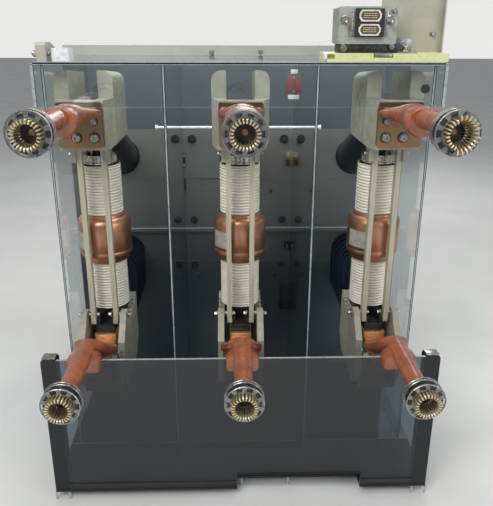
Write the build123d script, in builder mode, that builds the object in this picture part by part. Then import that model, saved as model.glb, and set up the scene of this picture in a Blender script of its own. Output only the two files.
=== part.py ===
from build123d import *
import os

# Withdrawable three-pole vacuum circuit breaker truck, millimetres.
# Frame: +Z up from the floor at Z = 0, the primary disconnects point to -Y, and the interrupter of
# the centre pole stands on X = 0, Y = 0.

os.makedirs("parts", exist_ok=True)

# ---- driving dimensions ----
POLES = {"left": -350.0, "centre": 0.0, "right": 350.0}

# vacuum interrupter
CERAMIC_R = 51.0  # over the sheds
CERAMIC_CORE_R = 47.0
CERAMIC_BOTTOM = 398.0
CERAMIC_TOP = 775.0
SHEDS = 16  # on each of the two ceramics
SHIELD_R = 67.0
SHIELD_NECK_R = 57.0
SHIELD_NECK_H = 9.0
SHIELD_BOTTOM = 523.0
SHIELD_TOP = 650.0
SHIELD_ROUND = 14.0
END_RING_R = 40.0
END_RING_H = 24.0
STEM_R = 24.0
COUPLING_R = 34.0

# primary disconnects
TERMINAL_UPPER_Z = 925.0
TERMINAL_LOWER_Z = 412.0
TULIP_FACE_Y = -523.0  # front ring
TULIP_R = 39.0
TULIP_BORE_R = 17.5
TULIP_BACK_Y = -487.0
TULIP_BACK_R = 23.0
RINGS = ((0.0, 5.0), (17.0, 12.0))  # behind the face, thickness
RING_INNER_R = 21.0
FINGERS = 24
FINGER_W = 3.6
FINGER_REACH = 18.0  # in front of the front ring
FINGER_LENGTH = 48.0
FINGER_OUT_R = 26.0
FINGER_ROOT_R = 16.5  # the bore is cut through the fingers after they are set in a ring
FINGER_LEAD = 6.0
FINGER_NOSE = 3.0
TULIP_BASE_T = 2.0
ARM_R = 20.0
# sections of the arms' roots from the terminal outwards: Y, middle Z, width, height
UPPER_ROOT = (
    (-172.0, 918.0, 96.0, 20.0),
    (-190.0, 919.0, 98.0, 22.0),
    (-225.0, 921.0, 78.0, 34.0),
    (-262.0, 924.0, 62.0, 46.0),
)
LOWER_ROOT = (
    (-195.0, 362.0, 100.0, 24.0),
    (-210.0, 364.0, 98.0, 28.0),
    (-240.0, 380.0, 80.0, 44.0),
    (-283.0, 409.0, 68.0, 44.0),
)
SLEEVE_Y = -291.0  # the roots end here and the round sleeves begin
SADDLE_Y = (-345.0, -303.0)  # a saddle hangs round each sleeve
SADDLE_W = 74.0
SADDLE_DROP = 38.0  # below the sleeve's axis
UPPER_SADDLE = (23.0, 27.0)  # rise above the sleeve's axis, corner radius
LOWER_SADDLE = (18.0, 8.0)

# upper pole head
HEAD_W = 131.0
HEAD_FRONT_Y = -160.0  # of the pad that carries the terminal plate
HEAD_BACK_Y = 52.0
HEAD_BOTTOM = 834.0
HEAD_TOP = 1003.0
HEAD_FALL = 12.0  # the top slopes down towards the wall
HEAD_EDGE_R = 11.0  # along the lower edges
HEAD_CORNER_R = 22.0  # along the upper edges
PAD_W = 102.0
PAD_TOP = 943.0
CHEEK_FRONT_Y = -110.0  # the pad's flanks widen to the full head here, and the cheeks rise above it
SLOT_W = 65.0
POCKET_FRONT_Y = -148.0  # behind the bar at the front the slot is deeper
POCKET_FLOOR = 896.0
GROOVE_R = 4.4
GROOVES = 7
GROOVE_PITCH = 21.0
GROOVE_BACK = 12.0  # from the back face to the first groove
LUG_T = 11.0
LUG_H = 40.0
LUG_DEPTH = 34.0
TERMINAL_PLATE_W = 98.0
TERMINAL_PLATE_T = 12.0
TERMINAL_PLATE_Z = (842.0, 940.0)
TERMINAL_PLATE_R = 6.0

# lower pole support
SUPPORT_W = 116.0
SUPPORT_GAP = 84.0
SUPPORT_BOTTOM = 222.0
SUPPORT_SEAT = 374.0  # top of the cheeks beside the interrupter
SUPPORT_TOP = 395.0
SUPPORT_FRONT_Y = -150.0
SUPPORT_BACK_Y = 70.0
SUPPORT_WEB_T = 16.0
SUPPORT_TOE = 14.0  # bevel under the front
SUPPORT_HEEL = 40.0  # bevel under the back
SHOULDER_Z = 350.0
CHEEK_HORN = ((-116.0, 384.0), (-104.0, 408.0), (-74.0, 408.0))  # Y, Z beside the struts
BACK_RISE = 30.0
SUPPORT_GROOVES = 5
SUPPORT_GROOVE_PITCH = 20.0
SUPPORT_GROOVE_Y = 58.0  # the rearmost one
PLATE_T = 15.0
PLATE_W = 92.0
PLATE_TOP = 329.0
PLATE_NOTCH = 15.0  # the lower bar passes over the plate here
BAR_W = 56.0
PALM_Z = (316.0, 334.0)  # flat end that runs into the lower arm
PALM_END_T = 12.0
PALM_END_Z = 366.0
PACK_Z = (318.0, 346.0)  # leaves under the coupling
PACK_FRONT_Y = -98.0
PACK_BACK_Y = 20.0

# struts between head and support
STRUT_SPACING = 57.0
STRUT_W = 12.0
STRUT_DEPTH = 20.0
STRUT_FRONT_Y = -90.0
STRUT_BOTTOM = 376.0

# insulators between the pole and the wall
CONE_FOOT_Z = 735.0
CONE_FOOT_R = 52.0
CONE_HEAD_Z = 872.0
CONE_HEAD_R = 36.0
SHED_Z = 391.0
SHED_W = 112.0
SHED_H = 205.0
SHED_T = 8.0
SHED_REACH = 18.0
SHED_PITCH = 30.0
SHED_COUNT = 7
SHED_FIRST = 10.0  # from the wall
FOOT_GAP = 4.0  # between an insulator's foot and the ledges around it

# clear barriers
SHEET_T = 6.0
BARRIER_X = 165.0
BARRIER_FRONT_Y = -172.0
SIDE_X = 433.0
SIDE_FRONT_Y = -120.0
HOOD_HALF_W = 442.0
HOOD_BOTTOM = 930.0
HOOD_TOP = 1023.0
ROD_Y = 240.0
ROD_Z = 828.0
ROD_R = 4.0
ROD_REACH = 236.0

# mechanism housing
WALL_Y = 303.0
WALL_HALF_W = 503.0
WALL_TOP = 1049.0
WALL_T = 4.0
WALL_CHAMFER = 12.0
LEDGES = ((667.0, 814.0, 3.0), (500.0, 514.0, 16.0), (373.0, 400.0, 3.0))  # Z range, reach
HOUSING_BACK_Y = 660.0
HOUSING_INSET = 6.0
HOUSING_DROP = 14.0
SKIN_T = 3.0
COVER_T = 4.0
COVER_MARGIN = 40.0
COVER_R = 12.0

# base
FRONT_Y = -300.0  # plane of the lower front sheet and its posts
SHEET_TOP = 385.0
SHEET_OPENING = 36.0  # between the tongues of the pan
POST_W = 35.0
POST_D = 30.0
POST_X = 437.5
POST_TOP = 388.0
POST_CORNER_R = 9.0
PAN_Z = (22.0, 28.0)
PAN_HALF_W = 460.0
PAN_FRONT_Y = -262.0
TONGUES = ((-455.0, -12.0), (291.0, 455.0))  # the pan reaches forward to the front sheet here
FLOOR_SHEET_T = 3.0
LONG_RUNNER_X = (-455.0, -423.0, 423.0, 455.0)  # to the front sheet
SHORT_RUNNER_X = (0.0, 117.0)  # to the pan's front edge
RUNNER_T = 4.0

# secondary plug and fittings on top
PLATE_X = (182.0, 442.0)
PLATE_Y = (-172.0, -62.0)
LAMINATE_T = 18.0
NOTCH_X = (281.0, 323.0)
NOTCH_DEPTH = 26.0
TALL_X = (318.0, 459.0)
TALL_TOP = 1240.0
TALL_T = 5.0
TALL_CORNER_R = 16.0
PLUG_X = (207.0, 332.0)
PLUG_Y = (-150.0, -70.0)
PLUG_Z = (1059.0, 1134.0)
PLUG_R = 4.0
FOOT_INSET = (14.0, 10.0)
INSERT_X = (241.0, 301.0)
INSERT_Z = (1073.0, 1130.0)
INSERT_REACH = 8.0
PEG_R = 4.0
PEG_X = (INSERT_X[0] - 22.0, INSERT_X[1] + 14.0)
PEG_Z = 1102.0
PEG_REACH = 30.0
PEG_NOSE_R = 3.0
LATCH_X = (-429.0, -407.0)
LATCH_TOP = 1062.0
# Y, Z of the latch lug's side from its foot in front over its top to its foot at the back
LATCH_SIDE = (
    (-172.0, HOOD_TOP),
    (-172.0, 1056.0),
    (-166.0, LATCH_TOP),
    (-135.0, LATCH_TOP),
    (-84.0, 1046.0),
    (-84.0, HOOD_TOP),
)
LATCH_EDGE_R = 3.0
LATCH_PIN = (-158.0, 1039.0)  # Y, Z
LATCH_PIN_R = 7.5
LATCH_PIN_REACH = 6.0
STOP_X = (-397.5, -360.0)
STOP_Y = (-172.0, -130.0)
STOP_H = 27.0
STOP_EDGE = 4.0


def save(piece, name):
    piece.part.label = name
    export_step(piece.part, f"parts/{name}.step")


def box(low, high, mode=Mode.ADD):
    """Put an axis-aligned box between two corners into the open part."""
    size = [h - l for l, h in zip(low, high)]
    middle = [(l + h) / 2 for l, h in zip(low, high)]
    with Locations(tuple(middle)):
        Box(*size, mode=mode)


def rod_along_y(x, z, y_low, y_high, radius, mode=Mode.ADD):
    """Put a cylinder along Y into the open part."""
    with Locations(Location((x, (y_low + y_high) / 2, z), (90, 0, 0))):
        Cylinder(radius, y_high - y_low, mode=mode)


def facing_front(x, y, z):
    """Plane across Y: its local x is +X, its local y is +Z, and it looks to the disconnects."""
    return Plane(origin=(x, y, z), x_dir=(1, 0, 0), z_dir=(0, -1, 0))


# ---- pieces that repeat inside a pole ----
shed_pitch = (SHIELD_BOTTOM - CERAMIC_BOTTOM) / SHEDS
with BuildPart() as ceramic_shed:
    Cylinder(CERAMIC_R, shed_pitch * 0.62)
    chamfer(ceramic_shed.edges().filter_by(GeomType.CIRCLE), length=shed_pitch * 0.25)

# one finger of a tulip contact: a thin radial plate that opens a little towards its tip
with BuildPart() as finger:
    with BuildSketch(Plane.XZ):
        with BuildLine():
            Polyline(
                (FINGER_ROOT_R, FINGER_LEAD),
                (TULIP_BORE_R, FINGER_LEAD),
                (FINGER_OUT_R - FINGER_NOSE, 0),
                (FINGER_OUT_R, FINGER_NOSE),
                (FINGER_OUT_R - 2, FINGER_REACH - 2),
                (FINGER_OUT_R - 4, FINGER_LENGTH),
                (FINGER_ROOT_R, FINGER_LENGTH),
                close=True,
            )
        make_face()
    extrude(amount=FINGER_W / 2, both=True)

# ---- poles ----
for name, x in POLES.items():
    with BuildPart() as ceramics:
        for low, high in ((CERAMIC_BOTTOM, SHIELD_BOTTOM), (SHIELD_TOP, CERAMIC_TOP)):
            pitch = (high - low) / SHEDS
            with Locations((x, 0, (low + high) / 2)):
                Cylinder(CERAMIC_CORE_R, high - low)
            with Locations(*[(x, 0, low + pitch * (n + 0.5)) for n in range(SHEDS)]):
                add(ceramic_shed.part)
    save(ceramics, f"ceramics_{name}")

    with BuildPart() as shield:
        middle = (SHIELD_BOTTOM + SHIELD_TOP) / 2
        with Locations((x, 0, middle)):
            Cylinder(SHIELD_R, SHIELD_TOP - SHIELD_BOTTOM - 2 * SHIELD_NECK_H)
        fillet(shield.edges().filter_by(GeomType.CIRCLE), radius=SHIELD_ROUND)
        with Locations((x, 0, middle)):
            Cylinder(SHIELD_NECK_R, SHIELD_TOP - SHIELD_BOTTOM)
    save(shield, f"shield_{name}")

    # upper support: a moulded block with an open slot between two grooved cheeks, and in front the
    # narrower pad of the terminal
    with BuildPart() as head:
        side = HEAD_W / 2
        with BuildSketch(Plane.XY.offset(HEAD_BOTTOM)):
            with BuildLine():
                Polyline(
                    (x - PAD_W / 2, HEAD_FRONT_Y),
                    (x - side, CHEEK_FRONT_Y),
                    (x - side, HEAD_BACK_Y),
                    (x + side, HEAD_BACK_Y),
                    (x + side, CHEEK_FRONT_Y),
                    (x + PAD_W / 2, HEAD_FRONT_Y),
                    close=True,
                )
            make_face()
        extrude(amount=HEAD_TOP - HEAD_BOTTOM)
        with BuildSketch(Plane.YZ.offset(x - side)):
            with BuildLine():
                Polyline(
                    (HEAD_FRONT_Y, HEAD_BOTTOM),
                    (HEAD_FRONT_Y, PAD_TOP),
                    (CHEEK_FRONT_Y, PAD_TOP),
                    (CHEEK_FRONT_Y, HEAD_TOP),
                    (HEAD_BACK_Y, HEAD_TOP - HEAD_FALL),
                    (HEAD_BACK_Y, HEAD_BOTTOM),
                    close=True,
                )
            make_face()
        extrude(amount=HEAD_W, mode=Mode.INTERSECT)
        # only the two sloping edges lie between the front and the back edge of the top
        fillet(head.edges().group_by(Axis.Z)[-2], radius=HEAD_CORNER_R)
        fillet(head.edges().filter_by(Axis.Y).group_by(Axis.Z)[0], radius=HEAD_EDGE_R)
        slot = SLOT_W / 2
        low = (x - slot, POCKET_FRONT_Y, POCKET_FLOOR)
        box(low, (x + slot, HEAD_BACK_Y, HEAD_TOP), Mode.SUBTRACT)
        spots = [
            (x + offset, HEAD_BACK_Y - GROOVE_BACK - GROOVE_PITCH * n, (HEAD_BOTTOM + HEAD_TOP) / 2)
            for offset in (-side, side)
            for n in range(GROOVES)
        ]
        with Locations(*spots):
            Cylinder(GROOVE_R, HEAD_TOP - HEAD_BOTTOM, mode=Mode.SUBTRACT)
        for side in (-1, 1):
            inner = STRUT_SPACING / 2 + STRUT_W / 2
            edges = sorted((x + side * inner, x + side * (inner + LUG_T)))
            back = STRUT_FRONT_Y + STRUT_DEPTH / 2 + LUG_DEPTH / 2
            box((edges[0], back - LUG_DEPTH, HEAD_BOTTOM - LUG_H), (edges[1], back, HEAD_BOTTOM))
    save(head, f"head_{name}")

    # lower support: two grooved cheeks, a web behind and a plate in front
    with BuildPart() as support:
        with BuildSketch(Plane.YZ.offset(x - SUPPORT_W / 2)):
            with BuildLine():
                Polyline(
                    (SUPPORT_FRONT_Y, SUPPORT_BOTTOM + SUPPORT_TOE),
                    (SUPPORT_FRONT_Y, SHOULDER_Z),
                    *CHEEK_HORN,
                    (CHEEK_HORN[-1][0] + 8, SUPPORT_SEAT),
                    (SUPPORT_BACK_Y - BACK_RISE, SUPPORT_SEAT),
                    (SUPPORT_BACK_Y - BACK_RISE * 0.6, SUPPORT_TOP),
                    (SUPPORT_BACK_Y, SUPPORT_TOP),
                    (SUPPORT_BACK_Y, SUPPORT_BOTTOM + SUPPORT_HEEL),
                    (SUPPORT_BACK_Y - SUPPORT_HEEL, SUPPORT_BOTTOM),
                    (SUPPORT_FRONT_Y + SUPPORT_TOE, SUPPORT_BOTTOM),
                    close=True,
                )
            make_face()
        extrude(amount=SUPPORT_W)
        half_gap = SUPPORT_GAP / 2
        web = SUPPORT_BACK_Y - SUPPORT_WEB_T
        low = (x - half_gap, SUPPORT_FRONT_Y, SUPPORT_BOTTOM)
        box(low, (x + half_gap, web, STRUT_BOTTOM + LUG_H), Mode.SUBTRACT)
        groove_z = (SUPPORT_BOTTOM + SUPPORT_TOP) / 2
        spots = [
            (x + side * SUPPORT_W / 2, SUPPORT_GROOVE_Y - SUPPORT_GROOVE_PITCH * n, groove_z)
            for side in (-1, 1)
            for n in range(SUPPORT_GROOVES)
        ]
        with Locations(*spots):
            Cylinder(GROOVE_R, SUPPORT_TOP - SUPPORT_BOTTOM, mode=Mode.SUBTRACT)
        low = (x - PLATE_W / 2, SUPPORT_FRONT_Y - PLATE_T, SUPPORT_BOTTOM)
        box(low, (x + PLATE_W / 2, SUPPORT_FRONT_Y, PLATE_TOP))
        low = (x - half_gap, SUPPORT_FRONT_Y - PLATE_T, PLATE_TOP - PLATE_NOTCH)
        box(low, (x + half_gap, SUPPORT_FRONT_Y, PLATE_TOP), Mode.SUBTRACT)
    save(support, f"support_{name}")

    with BuildPart() as struts:
        for side in (-1, 1):
            centre = x + side * STRUT_SPACING / 2
            low = (centre - STRUT_W / 2, STRUT_FRONT_Y, STRUT_BOTTOM)
            box(low, (centre + STRUT_W / 2, STRUT_FRONT_Y + STRUT_DEPTH, HEAD_BOTTOM))
    save(struts, f"struts_{name}")

    # black resin insulators between the pole and the wall: a plain cone above, a shedded one below
    with BuildPart() as insulators:
        with BuildSketch(facing_front(x, WALL_Y, CONE_FOOT_Z)):
            Circle(CONE_FOOT_R)
        with BuildSketch(facing_front(x, HEAD_BACK_Y, CONE_HEAD_Z)):
            Circle(CONE_HEAD_R)
        loft()
        with BuildSketch(facing_front(x, WALL_Y, SHED_Z)):
            SlotOverall(SHED_H - 2 * SHED_REACH, SHED_W - 2 * SHED_REACH, rotation=90)
        extrude(amount=WALL_Y - SUPPORT_BACK_Y)
        for n in range(SHED_COUNT):
            with BuildSketch(facing_front(x, WALL_Y - SHED_FIRST - n * SHED_PITCH, SHED_Z)):
                SlotOverall(SHED_H, SHED_W, rotation=90)
            extrude(amount=SHED_T)
    save(insulators, f"insulators_{name}")

    # insulated arms: a flat root on the terminal that swells and closes into a round sleeve
    with BuildPart() as arms:
        for z, roots, (rise, corner) in (
            (TERMINAL_UPPER_Z, UPPER_ROOT, UPPER_SADDLE),
            (TERMINAL_LOWER_Z, LOWER_ROOT, LOWER_SADDLE),
        ):
            for y, root_z, width, height in roots:
                with BuildSketch(facing_front(x, y, root_z)):
                    RectangleRounded(width, height, height * 0.4)
            with BuildSketch(facing_front(x, SLEEVE_Y, z)):
                Circle(ARM_R)
            loft()
            rod_along_y(x, z, TULIP_BACK_Y, SLEEVE_Y, ARM_R)
            with BuildSketch(facing_front(x, SADDLE_Y[1], z + (rise - SADDLE_DROP) / 2)):
                RectangleRounded(SADDLE_W, rise + SADDLE_DROP, corner)
            extrude(amount=SADDLE_Y[1] - SADDLE_Y[0])
    save(arms, f"arms_{name}")

    with BuildPart() as tulips:
        for z in (TERMINAL_UPPER_Z, TERMINAL_LOWER_Z):
            fingers_back = TULIP_FACE_Y - FINGER_REACH + FINGER_LENGTH
            rod_along_y(x, z, fingers_back - TULIP_BASE_T, TULIP_BACK_Y, TULIP_BACK_R)
            for back, thickness in RINGS:
                y = TULIP_FACE_Y + back
                rod_along_y(x, z, y, y + thickness, TULIP_R)
                rod_along_y(x, z, y, y + thickness, RING_INNER_R, Mode.SUBTRACT)
            tip = Plane(origin=(x, TULIP_FACE_Y - FINGER_REACH, z), x_dir=(1, 0, 0), z_dir=(0, 1, 0))
            with Locations(tip):
                with PolarLocations(0, FINGERS):
                    add(finger.part)
            tips = TULIP_FACE_Y - FINGER_REACH
            rod_along_y(x, z, tips, fingers_back - TULIP_BASE_T, TULIP_BORE_R, Mode.SUBTRACT)
    save(tulips, f"tulips_{name}")

# terminal plates on the fronts of the heads
with BuildPart() as terminal_plates:
    for x in POLES.values():
        low = (x - TERMINAL_PLATE_W / 2, HEAD_FRONT_Y - TERMINAL_PLATE_T, TERMINAL_PLATE_Z[0])
        box(low, (x + TERMINAL_PLATE_W / 2, HEAD_FRONT_Y, TERMINAL_PLATE_Z[1]))
    fillet(terminal_plates.edges().filter_by(Axis.Y), radius=TERMINAL_PLATE_R)
save(terminal_plates, "terminal_plates")

# metal fittings between the upper ceramics and the heads
with BuildPart() as end_rings:
    for x in POLES.values():
        ring_top = CERAMIC_TOP + END_RING_H
        with Locations((x, 0, CERAMIC_TOP + END_RING_H / 2)):
            Cylinder(END_RING_R, END_RING_H)
        with Locations((x, 0, (ring_top + HEAD_BOTTOM) / 2)):
            Cylinder(STEM_R, HEAD_BOTTOM - ring_top)
save(end_rings, "end_rings")

# drive couplings under the lower ceramics
with BuildPart() as couplings:
    for x in POLES.values():
        with Locations((x, 0, (CERAMIC_BOTTOM + PACK_Z[1]) / 2)):
            Cylinder(COUPLING_R, CERAMIC_BOTTOM - PACK_Z[1])
save(couplings, "couplings")

# copper from below the interrupters to the lower arms: a pack of leaves, and a palm in front of it
with BuildPart() as terminal_bars:
    for x in POLES.values():
        side = BAR_W / 2
        box((x - side, PACK_FRONT_Y, PACK_Z[0]), (x + side, PACK_BACK_Y, PACK_Z[1]))
        box((x - side, LOWER_ROOT[0][0], PALM_Z[0]), (x + side, PACK_FRONT_Y, PALM_Z[1]))
        # the palm's end turns up against the arm's root
        low = (x - side, LOWER_ROOT[0][0], PALM_Z[0])
        box(low, (x + side, LOWER_ROOT[0][0] + PALM_END_T, PALM_END_Z))
save(terminal_bars, "terminal_bars")

# ---- clear barriers ----
half_t = SHEET_T / 2
sheet_foot = PAN_Z[1] + FLOOR_SHEET_T
under_hood = HOOD_TOP - SHEET_T
with BuildPart() as interphase_barriers:
    for side in (-1, 1):
        middle = side * BARRIER_X
        low = (middle - half_t, BARRIER_FRONT_Y, sheet_foot)
        box(low, (middle + half_t, WALL_Y, under_hood))
    with Locations(Location((0, ROD_Y, ROD_Z), (0, 90, 0))):
        Cylinder(ROD_R, 2 * ROD_REACH, mode=Mode.SUBTRACT)
save(interphase_barriers, "interphase_barriers")

with BuildPart() as side_sheets:
    for side in (-1, 1):
        middle = side * SIDE_X
        box((middle - half_t, SIDE_FRONT_Y, sheet_foot), (middle + half_t, WALL_Y, under_hood))
save(side_sheets, "side_sheets")

with BuildPart() as hood_front:
    low = (-HOOD_HALF_W, BARRIER_FRONT_Y - SHEET_T, HOOD_BOTTOM)
    box(low, (HOOD_HALF_W, BARRIER_FRONT_Y, HOOD_TOP))
save(hood_front, "hood_front")

with BuildPart() as hood_top:
    box((-HOOD_HALF_W, BARRIER_FRONT_Y, under_hood), (HOOD_HALF_W, WALL_Y, HOOD_TOP))
save(hood_top, "hood_top")

with BuildPart() as hood_sides:
    for side in (-1, 1):
        edges = sorted((side * HOOD_HALF_W, side * (SIDE_X + half_t)))
        box((edges[0], BARRIER_FRONT_Y, HOOD_BOTTOM), (edges[1], SIDE_FRONT_Y, under_hood))
save(hood_sides, "hood_sides")

with BuildPart() as floor_sheet:
    box((-PAN_HALF_W, SIDE_FRONT_Y, PAN_Z[1]), (PAN_HALF_W, WALL_Y, sheet_foot))
    for side in (-1, 1):
        middle = side * BARRIER_X
        low = (middle - half_t, BARRIER_FRONT_Y, PAN_Z[1])
        box(low, (middle + half_t, SIDE_FRONT_Y, sheet_foot))
save(floor_sheet, "floor_sheet")

with BuildPart() as spacer_rod:
    with Locations(Location((0, ROD_Y, ROD_Z), (0, 90, 0))):
        Cylinder(ROD_R, 2 * ROD_REACH)
save(spacer_rod, "spacer_rod")

with BuildPart() as front_sheet:
    inner = POST_X - POST_W / 2
    for low, high in ((-inner, TONGUES[0][1]), (TONGUES[1][0], inner)):
        box((low, FRONT_Y, PAN_Z[1]), (high, FRONT_Y + SHEET_T, SHEET_TOP))
    low = (TONGUES[0][1], FRONT_Y, PAN_Z[1] + SHEET_OPENING)
    box(low, (TONGUES[1][0], FRONT_Y + SHEET_T, SHEET_TOP))
save(front_sheet, "front_sheet")

# ---- base ----
with BuildPart() as posts:
    for side in (-1, 1):
        middle = side * POST_X
        low = (middle - POST_W / 2, FRONT_Y, PAN_Z[1])
        box(low, (middle + POST_W / 2, FRONT_Y + POST_D, POST_TOP))
    fillet(posts.edges().filter_by(Axis.Y).group_by(Axis.Z)[-1], radius=POST_CORNER_R)
save(posts, "posts")

with BuildPart() as base_pan:
    box((-PAN_HALF_W, PAN_FRONT_Y, PAN_Z[0]), (PAN_HALF_W, HOUSING_BACK_Y, PAN_Z[1]))
    for low, high in TONGUES:
        box((low, FRONT_Y, PAN_Z[0]), (high, PAN_FRONT_Y, PAN_Z[1]))
save(base_pan, "base_pan")

with BuildPart() as runners:
    for x in LONG_RUNNER_X + SHORT_RUNNER_X:
        front = PAN_FRONT_Y if x in SHORT_RUNNER_X else FRONT_Y
        box((x - RUNNER_T / 2, front, 0), (x + RUNNER_T / 2, HOUSING_BACK_Y, PAN_Z[0]))
save(runners, "runners")

# ---- mechanism housing ----
with BuildPart() as wall_panel:
    box((-WALL_HALF_W, WALL_Y, PAN_Z[1]), (WALL_HALF_W, WALL_Y + WALL_T, WALL_TOP))
    chamfer(wall_panel.edges().filter_by(Axis.Y).group_by(Axis.Z)[-1], length=WALL_CHAMFER)
save(wall_panel, "wall_panel")

# raised strips and panels between the barriers, cut clear of the insulators' feet
with BuildPart() as wall_ledges:
    bays = (
        (half_t - SIDE_X, -BARRIER_X - half_t),
        (half_t - BARRIER_X, BARRIER_X - half_t),
        (BARRIER_X + half_t, SIDE_X - half_t),
    )
    for low_z, high_z, reach in LEDGES:
        for low_x, high_x in bays:
            box((low_x, WALL_Y - reach, low_z), (high_x, WALL_Y, high_z))
    for x in POLES.values():
        rod_along_y(x, CONE_FOOT_Z, WALL_Y - LEDGES[1][2], WALL_Y, CONE_FOOT_R + FOOT_GAP, Mode.SUBTRACT)
        half_w = SHED_W / 2 + FOOT_GAP
        half_h = SHED_H / 2 + FOOT_GAP
        low = (x - half_w, WALL_Y - LEDGES[1][2], SHED_Z - half_h)
        box(low, (x + half_w, WALL_Y, SHED_Z + half_h), Mode.SUBTRACT)
save(wall_ledges, "wall_ledges")

with BuildPart() as housing:
    side = WALL_HALF_W - HOUSING_INSET
    top = WALL_TOP - HOUSING_DROP
    front = WALL_Y + WALL_T
    box((-side, front, PAN_Z[1]), (side, HOUSING_BACK_Y, top))
    low = (SKIN_T - side, front, PAN_Z[1] + SKIN_T)
    box(low, (side - SKIN_T, HOUSING_BACK_Y - SKIN_T, top - SKIN_T), Mode.SUBTRACT)
save(housing, "housing")

with BuildPart() as operator_cover:
    side = WALL_HALF_W - HOUSING_INSET - COVER_MARGIN
    low = (-side, HOUSING_BACK_Y, PAN_Z[1] + COVER_MARGIN)
    box(low, (side, HOUSING_BACK_Y + COVER_T, WALL_TOP - HOUSING_DROP - COVER_MARGIN))
    fillet(operator_cover.edges().filter_by(Axis.Y), radius=COVER_R)
save(operator_cover, "operator_cover")

# ---- secondary plug and fittings on top ----
with BuildPart() as glass_fibre_plate:
    box((PLATE_X[0], PLATE_Y[0], HOOD_TOP), (PLATE_X[1], PLATE_Y[1], HOOD_TOP + LAMINATE_T))
    low = (NOTCH_X[0], PLATE_Y[0], HOOD_TOP + LAMINATE_T / 2)
    box(low, (NOTCH_X[1], PLATE_Y[0] + NOTCH_DEPTH, HOOD_TOP + LAMINATE_T), Mode.SUBTRACT)
save(glass_fibre_plate, "glass_fibre_plate")

with BuildPart() as tall_plate:
    box((TALL_X[0], PLATE_Y[1], HOOD_TOP), (TALL_X[1], PLATE_Y[1] + TALL_T, TALL_TOP))
    fillet(tall_plate.edges().filter_by(Axis.Y).group_by(Axis.Z)[-1], radius=TALL_CORNER_R)
save(tall_plate, "tall_plate")

with BuildPart() as plug_box:
    box((PLUG_X[0], PLUG_Y[0], PLUG_Z[0]), (PLUG_X[1], PLUG_Y[1], PLUG_Z[1]))
    fillet(plug_box.edges().filter_by(Axis.Y), radius=PLUG_R)
    foot = HOOD_TOP + LAMINATE_T
    low = (PLUG_X[0] + FOOT_INSET[0], PLUG_Y[0] + FOOT_INSET[1], foot)
    box(low, (PLUG_X[1] - FOOT_INSET[0], PLUG_Y[1] - FOOT_INSET[1], PLUG_Z[0]))
save(plug_box, "plug_box")

with BuildPart() as plug_insert:
    box((INSERT_X[0], PLUG_Y[0] - INSERT_REACH, INSERT_Z[0]), (INSERT_X[1], PLUG_Y[0], INSERT_Z[1]))
save(plug_insert, "plug_insert")

with BuildPart() as guide_pegs:
    for x in PEG_X:
        rod_along_y(x, PEG_Z, PLUG_Y[0] - PEG_REACH, PLUG_Y[0], PEG_R)
    fillet(guide_pegs.edges().filter_by(GeomType.CIRCLE).group_by(Axis.Y)[0], radius=PEG_NOSE_R)
save(guide_pegs, "guide_pegs")

with BuildPart() as latch_lug:
    with BuildSketch(Plane.YZ.offset(LATCH_X[0])):
        with BuildLine():
            Polyline(*LATCH_SIDE, close=True)
        make_face()
    extrude(amount=LATCH_X[1] - LATCH_X[0])
    fillet(latch_lug.edges().filter_by(Axis.Z), radius=LATCH_EDGE_R)
    low_x = LATCH_X[0] - LATCH_PIN_REACH
    with Locations(Location(((low_x + LATCH_X[0]) / 2, *LATCH_PIN), (0, 90, 0))):
        Cylinder(LATCH_PIN_R, LATCH_PIN_REACH)
save(latch_lug, "latch_lug")

with BuildPart() as stop_block:
    box((STOP_X[0], STOP_Y[0], HOOD_TOP), (STOP_X[1], STOP_Y[1], HOOD_TOP + STOP_H))
    chamfer(stop_block.edges().filter_by(Axis.Z).group_by(Axis.X)[0], length=STOP_EDGE)
save(stop_block, "stop_block")
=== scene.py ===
"""Dresses a withdrawable three-pole vacuum circuit breaker: glazed interrupters, lacquered copper
shields, cast resin arms with tulip contacts, clear barriers, and the fittings on its wall."""

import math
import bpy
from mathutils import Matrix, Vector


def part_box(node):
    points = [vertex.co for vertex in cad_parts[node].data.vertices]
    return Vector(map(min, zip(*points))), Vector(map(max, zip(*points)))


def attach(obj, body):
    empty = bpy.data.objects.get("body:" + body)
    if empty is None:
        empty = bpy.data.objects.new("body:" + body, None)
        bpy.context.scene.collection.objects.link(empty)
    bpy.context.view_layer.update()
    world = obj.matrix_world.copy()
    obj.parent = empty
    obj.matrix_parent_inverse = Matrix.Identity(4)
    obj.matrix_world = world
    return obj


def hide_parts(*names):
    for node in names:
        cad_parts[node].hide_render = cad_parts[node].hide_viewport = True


bl_info = {
    "name": "Vacuum circuit breaker truck",
    "version": (1, 0, 0),
    "blender": (4, 5, 0),
    "location": "3D View > Sidebar > Breaker",
    "description": "Builds the fittings and finishes of a withdrawable vacuum circuit breaker",
    "category": "Add Mesh",
}

import bmesh
import bpy
from mathutils import Vector

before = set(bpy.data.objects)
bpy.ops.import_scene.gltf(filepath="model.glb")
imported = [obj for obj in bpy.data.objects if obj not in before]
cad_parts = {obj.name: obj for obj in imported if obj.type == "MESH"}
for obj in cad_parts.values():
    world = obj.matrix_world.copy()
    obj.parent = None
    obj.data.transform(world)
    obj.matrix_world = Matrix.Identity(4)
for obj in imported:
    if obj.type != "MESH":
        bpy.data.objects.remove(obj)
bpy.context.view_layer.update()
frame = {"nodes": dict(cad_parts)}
NODES = frame["nodes"]

MM = 0.001
POLES = {"left": -350.0, "centre": 0.0, "right": 350.0}
LEVELS = {"upper": 925.0, "lower": 412.0}
X_AXIS, Y_AXIS, Z_AXIS = Vector((1, 0, 0)), Vector((0, 1, 0)), Vector((0, 0, 1))
FRONT = Vector((0, -1, 0))  # where the disconnects point
SIDES = (-1, 1)
SHEET_T = 6.0  # clear sheets
LEDGE_T = 3.0  # folded steel of the wall's ledges


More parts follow.
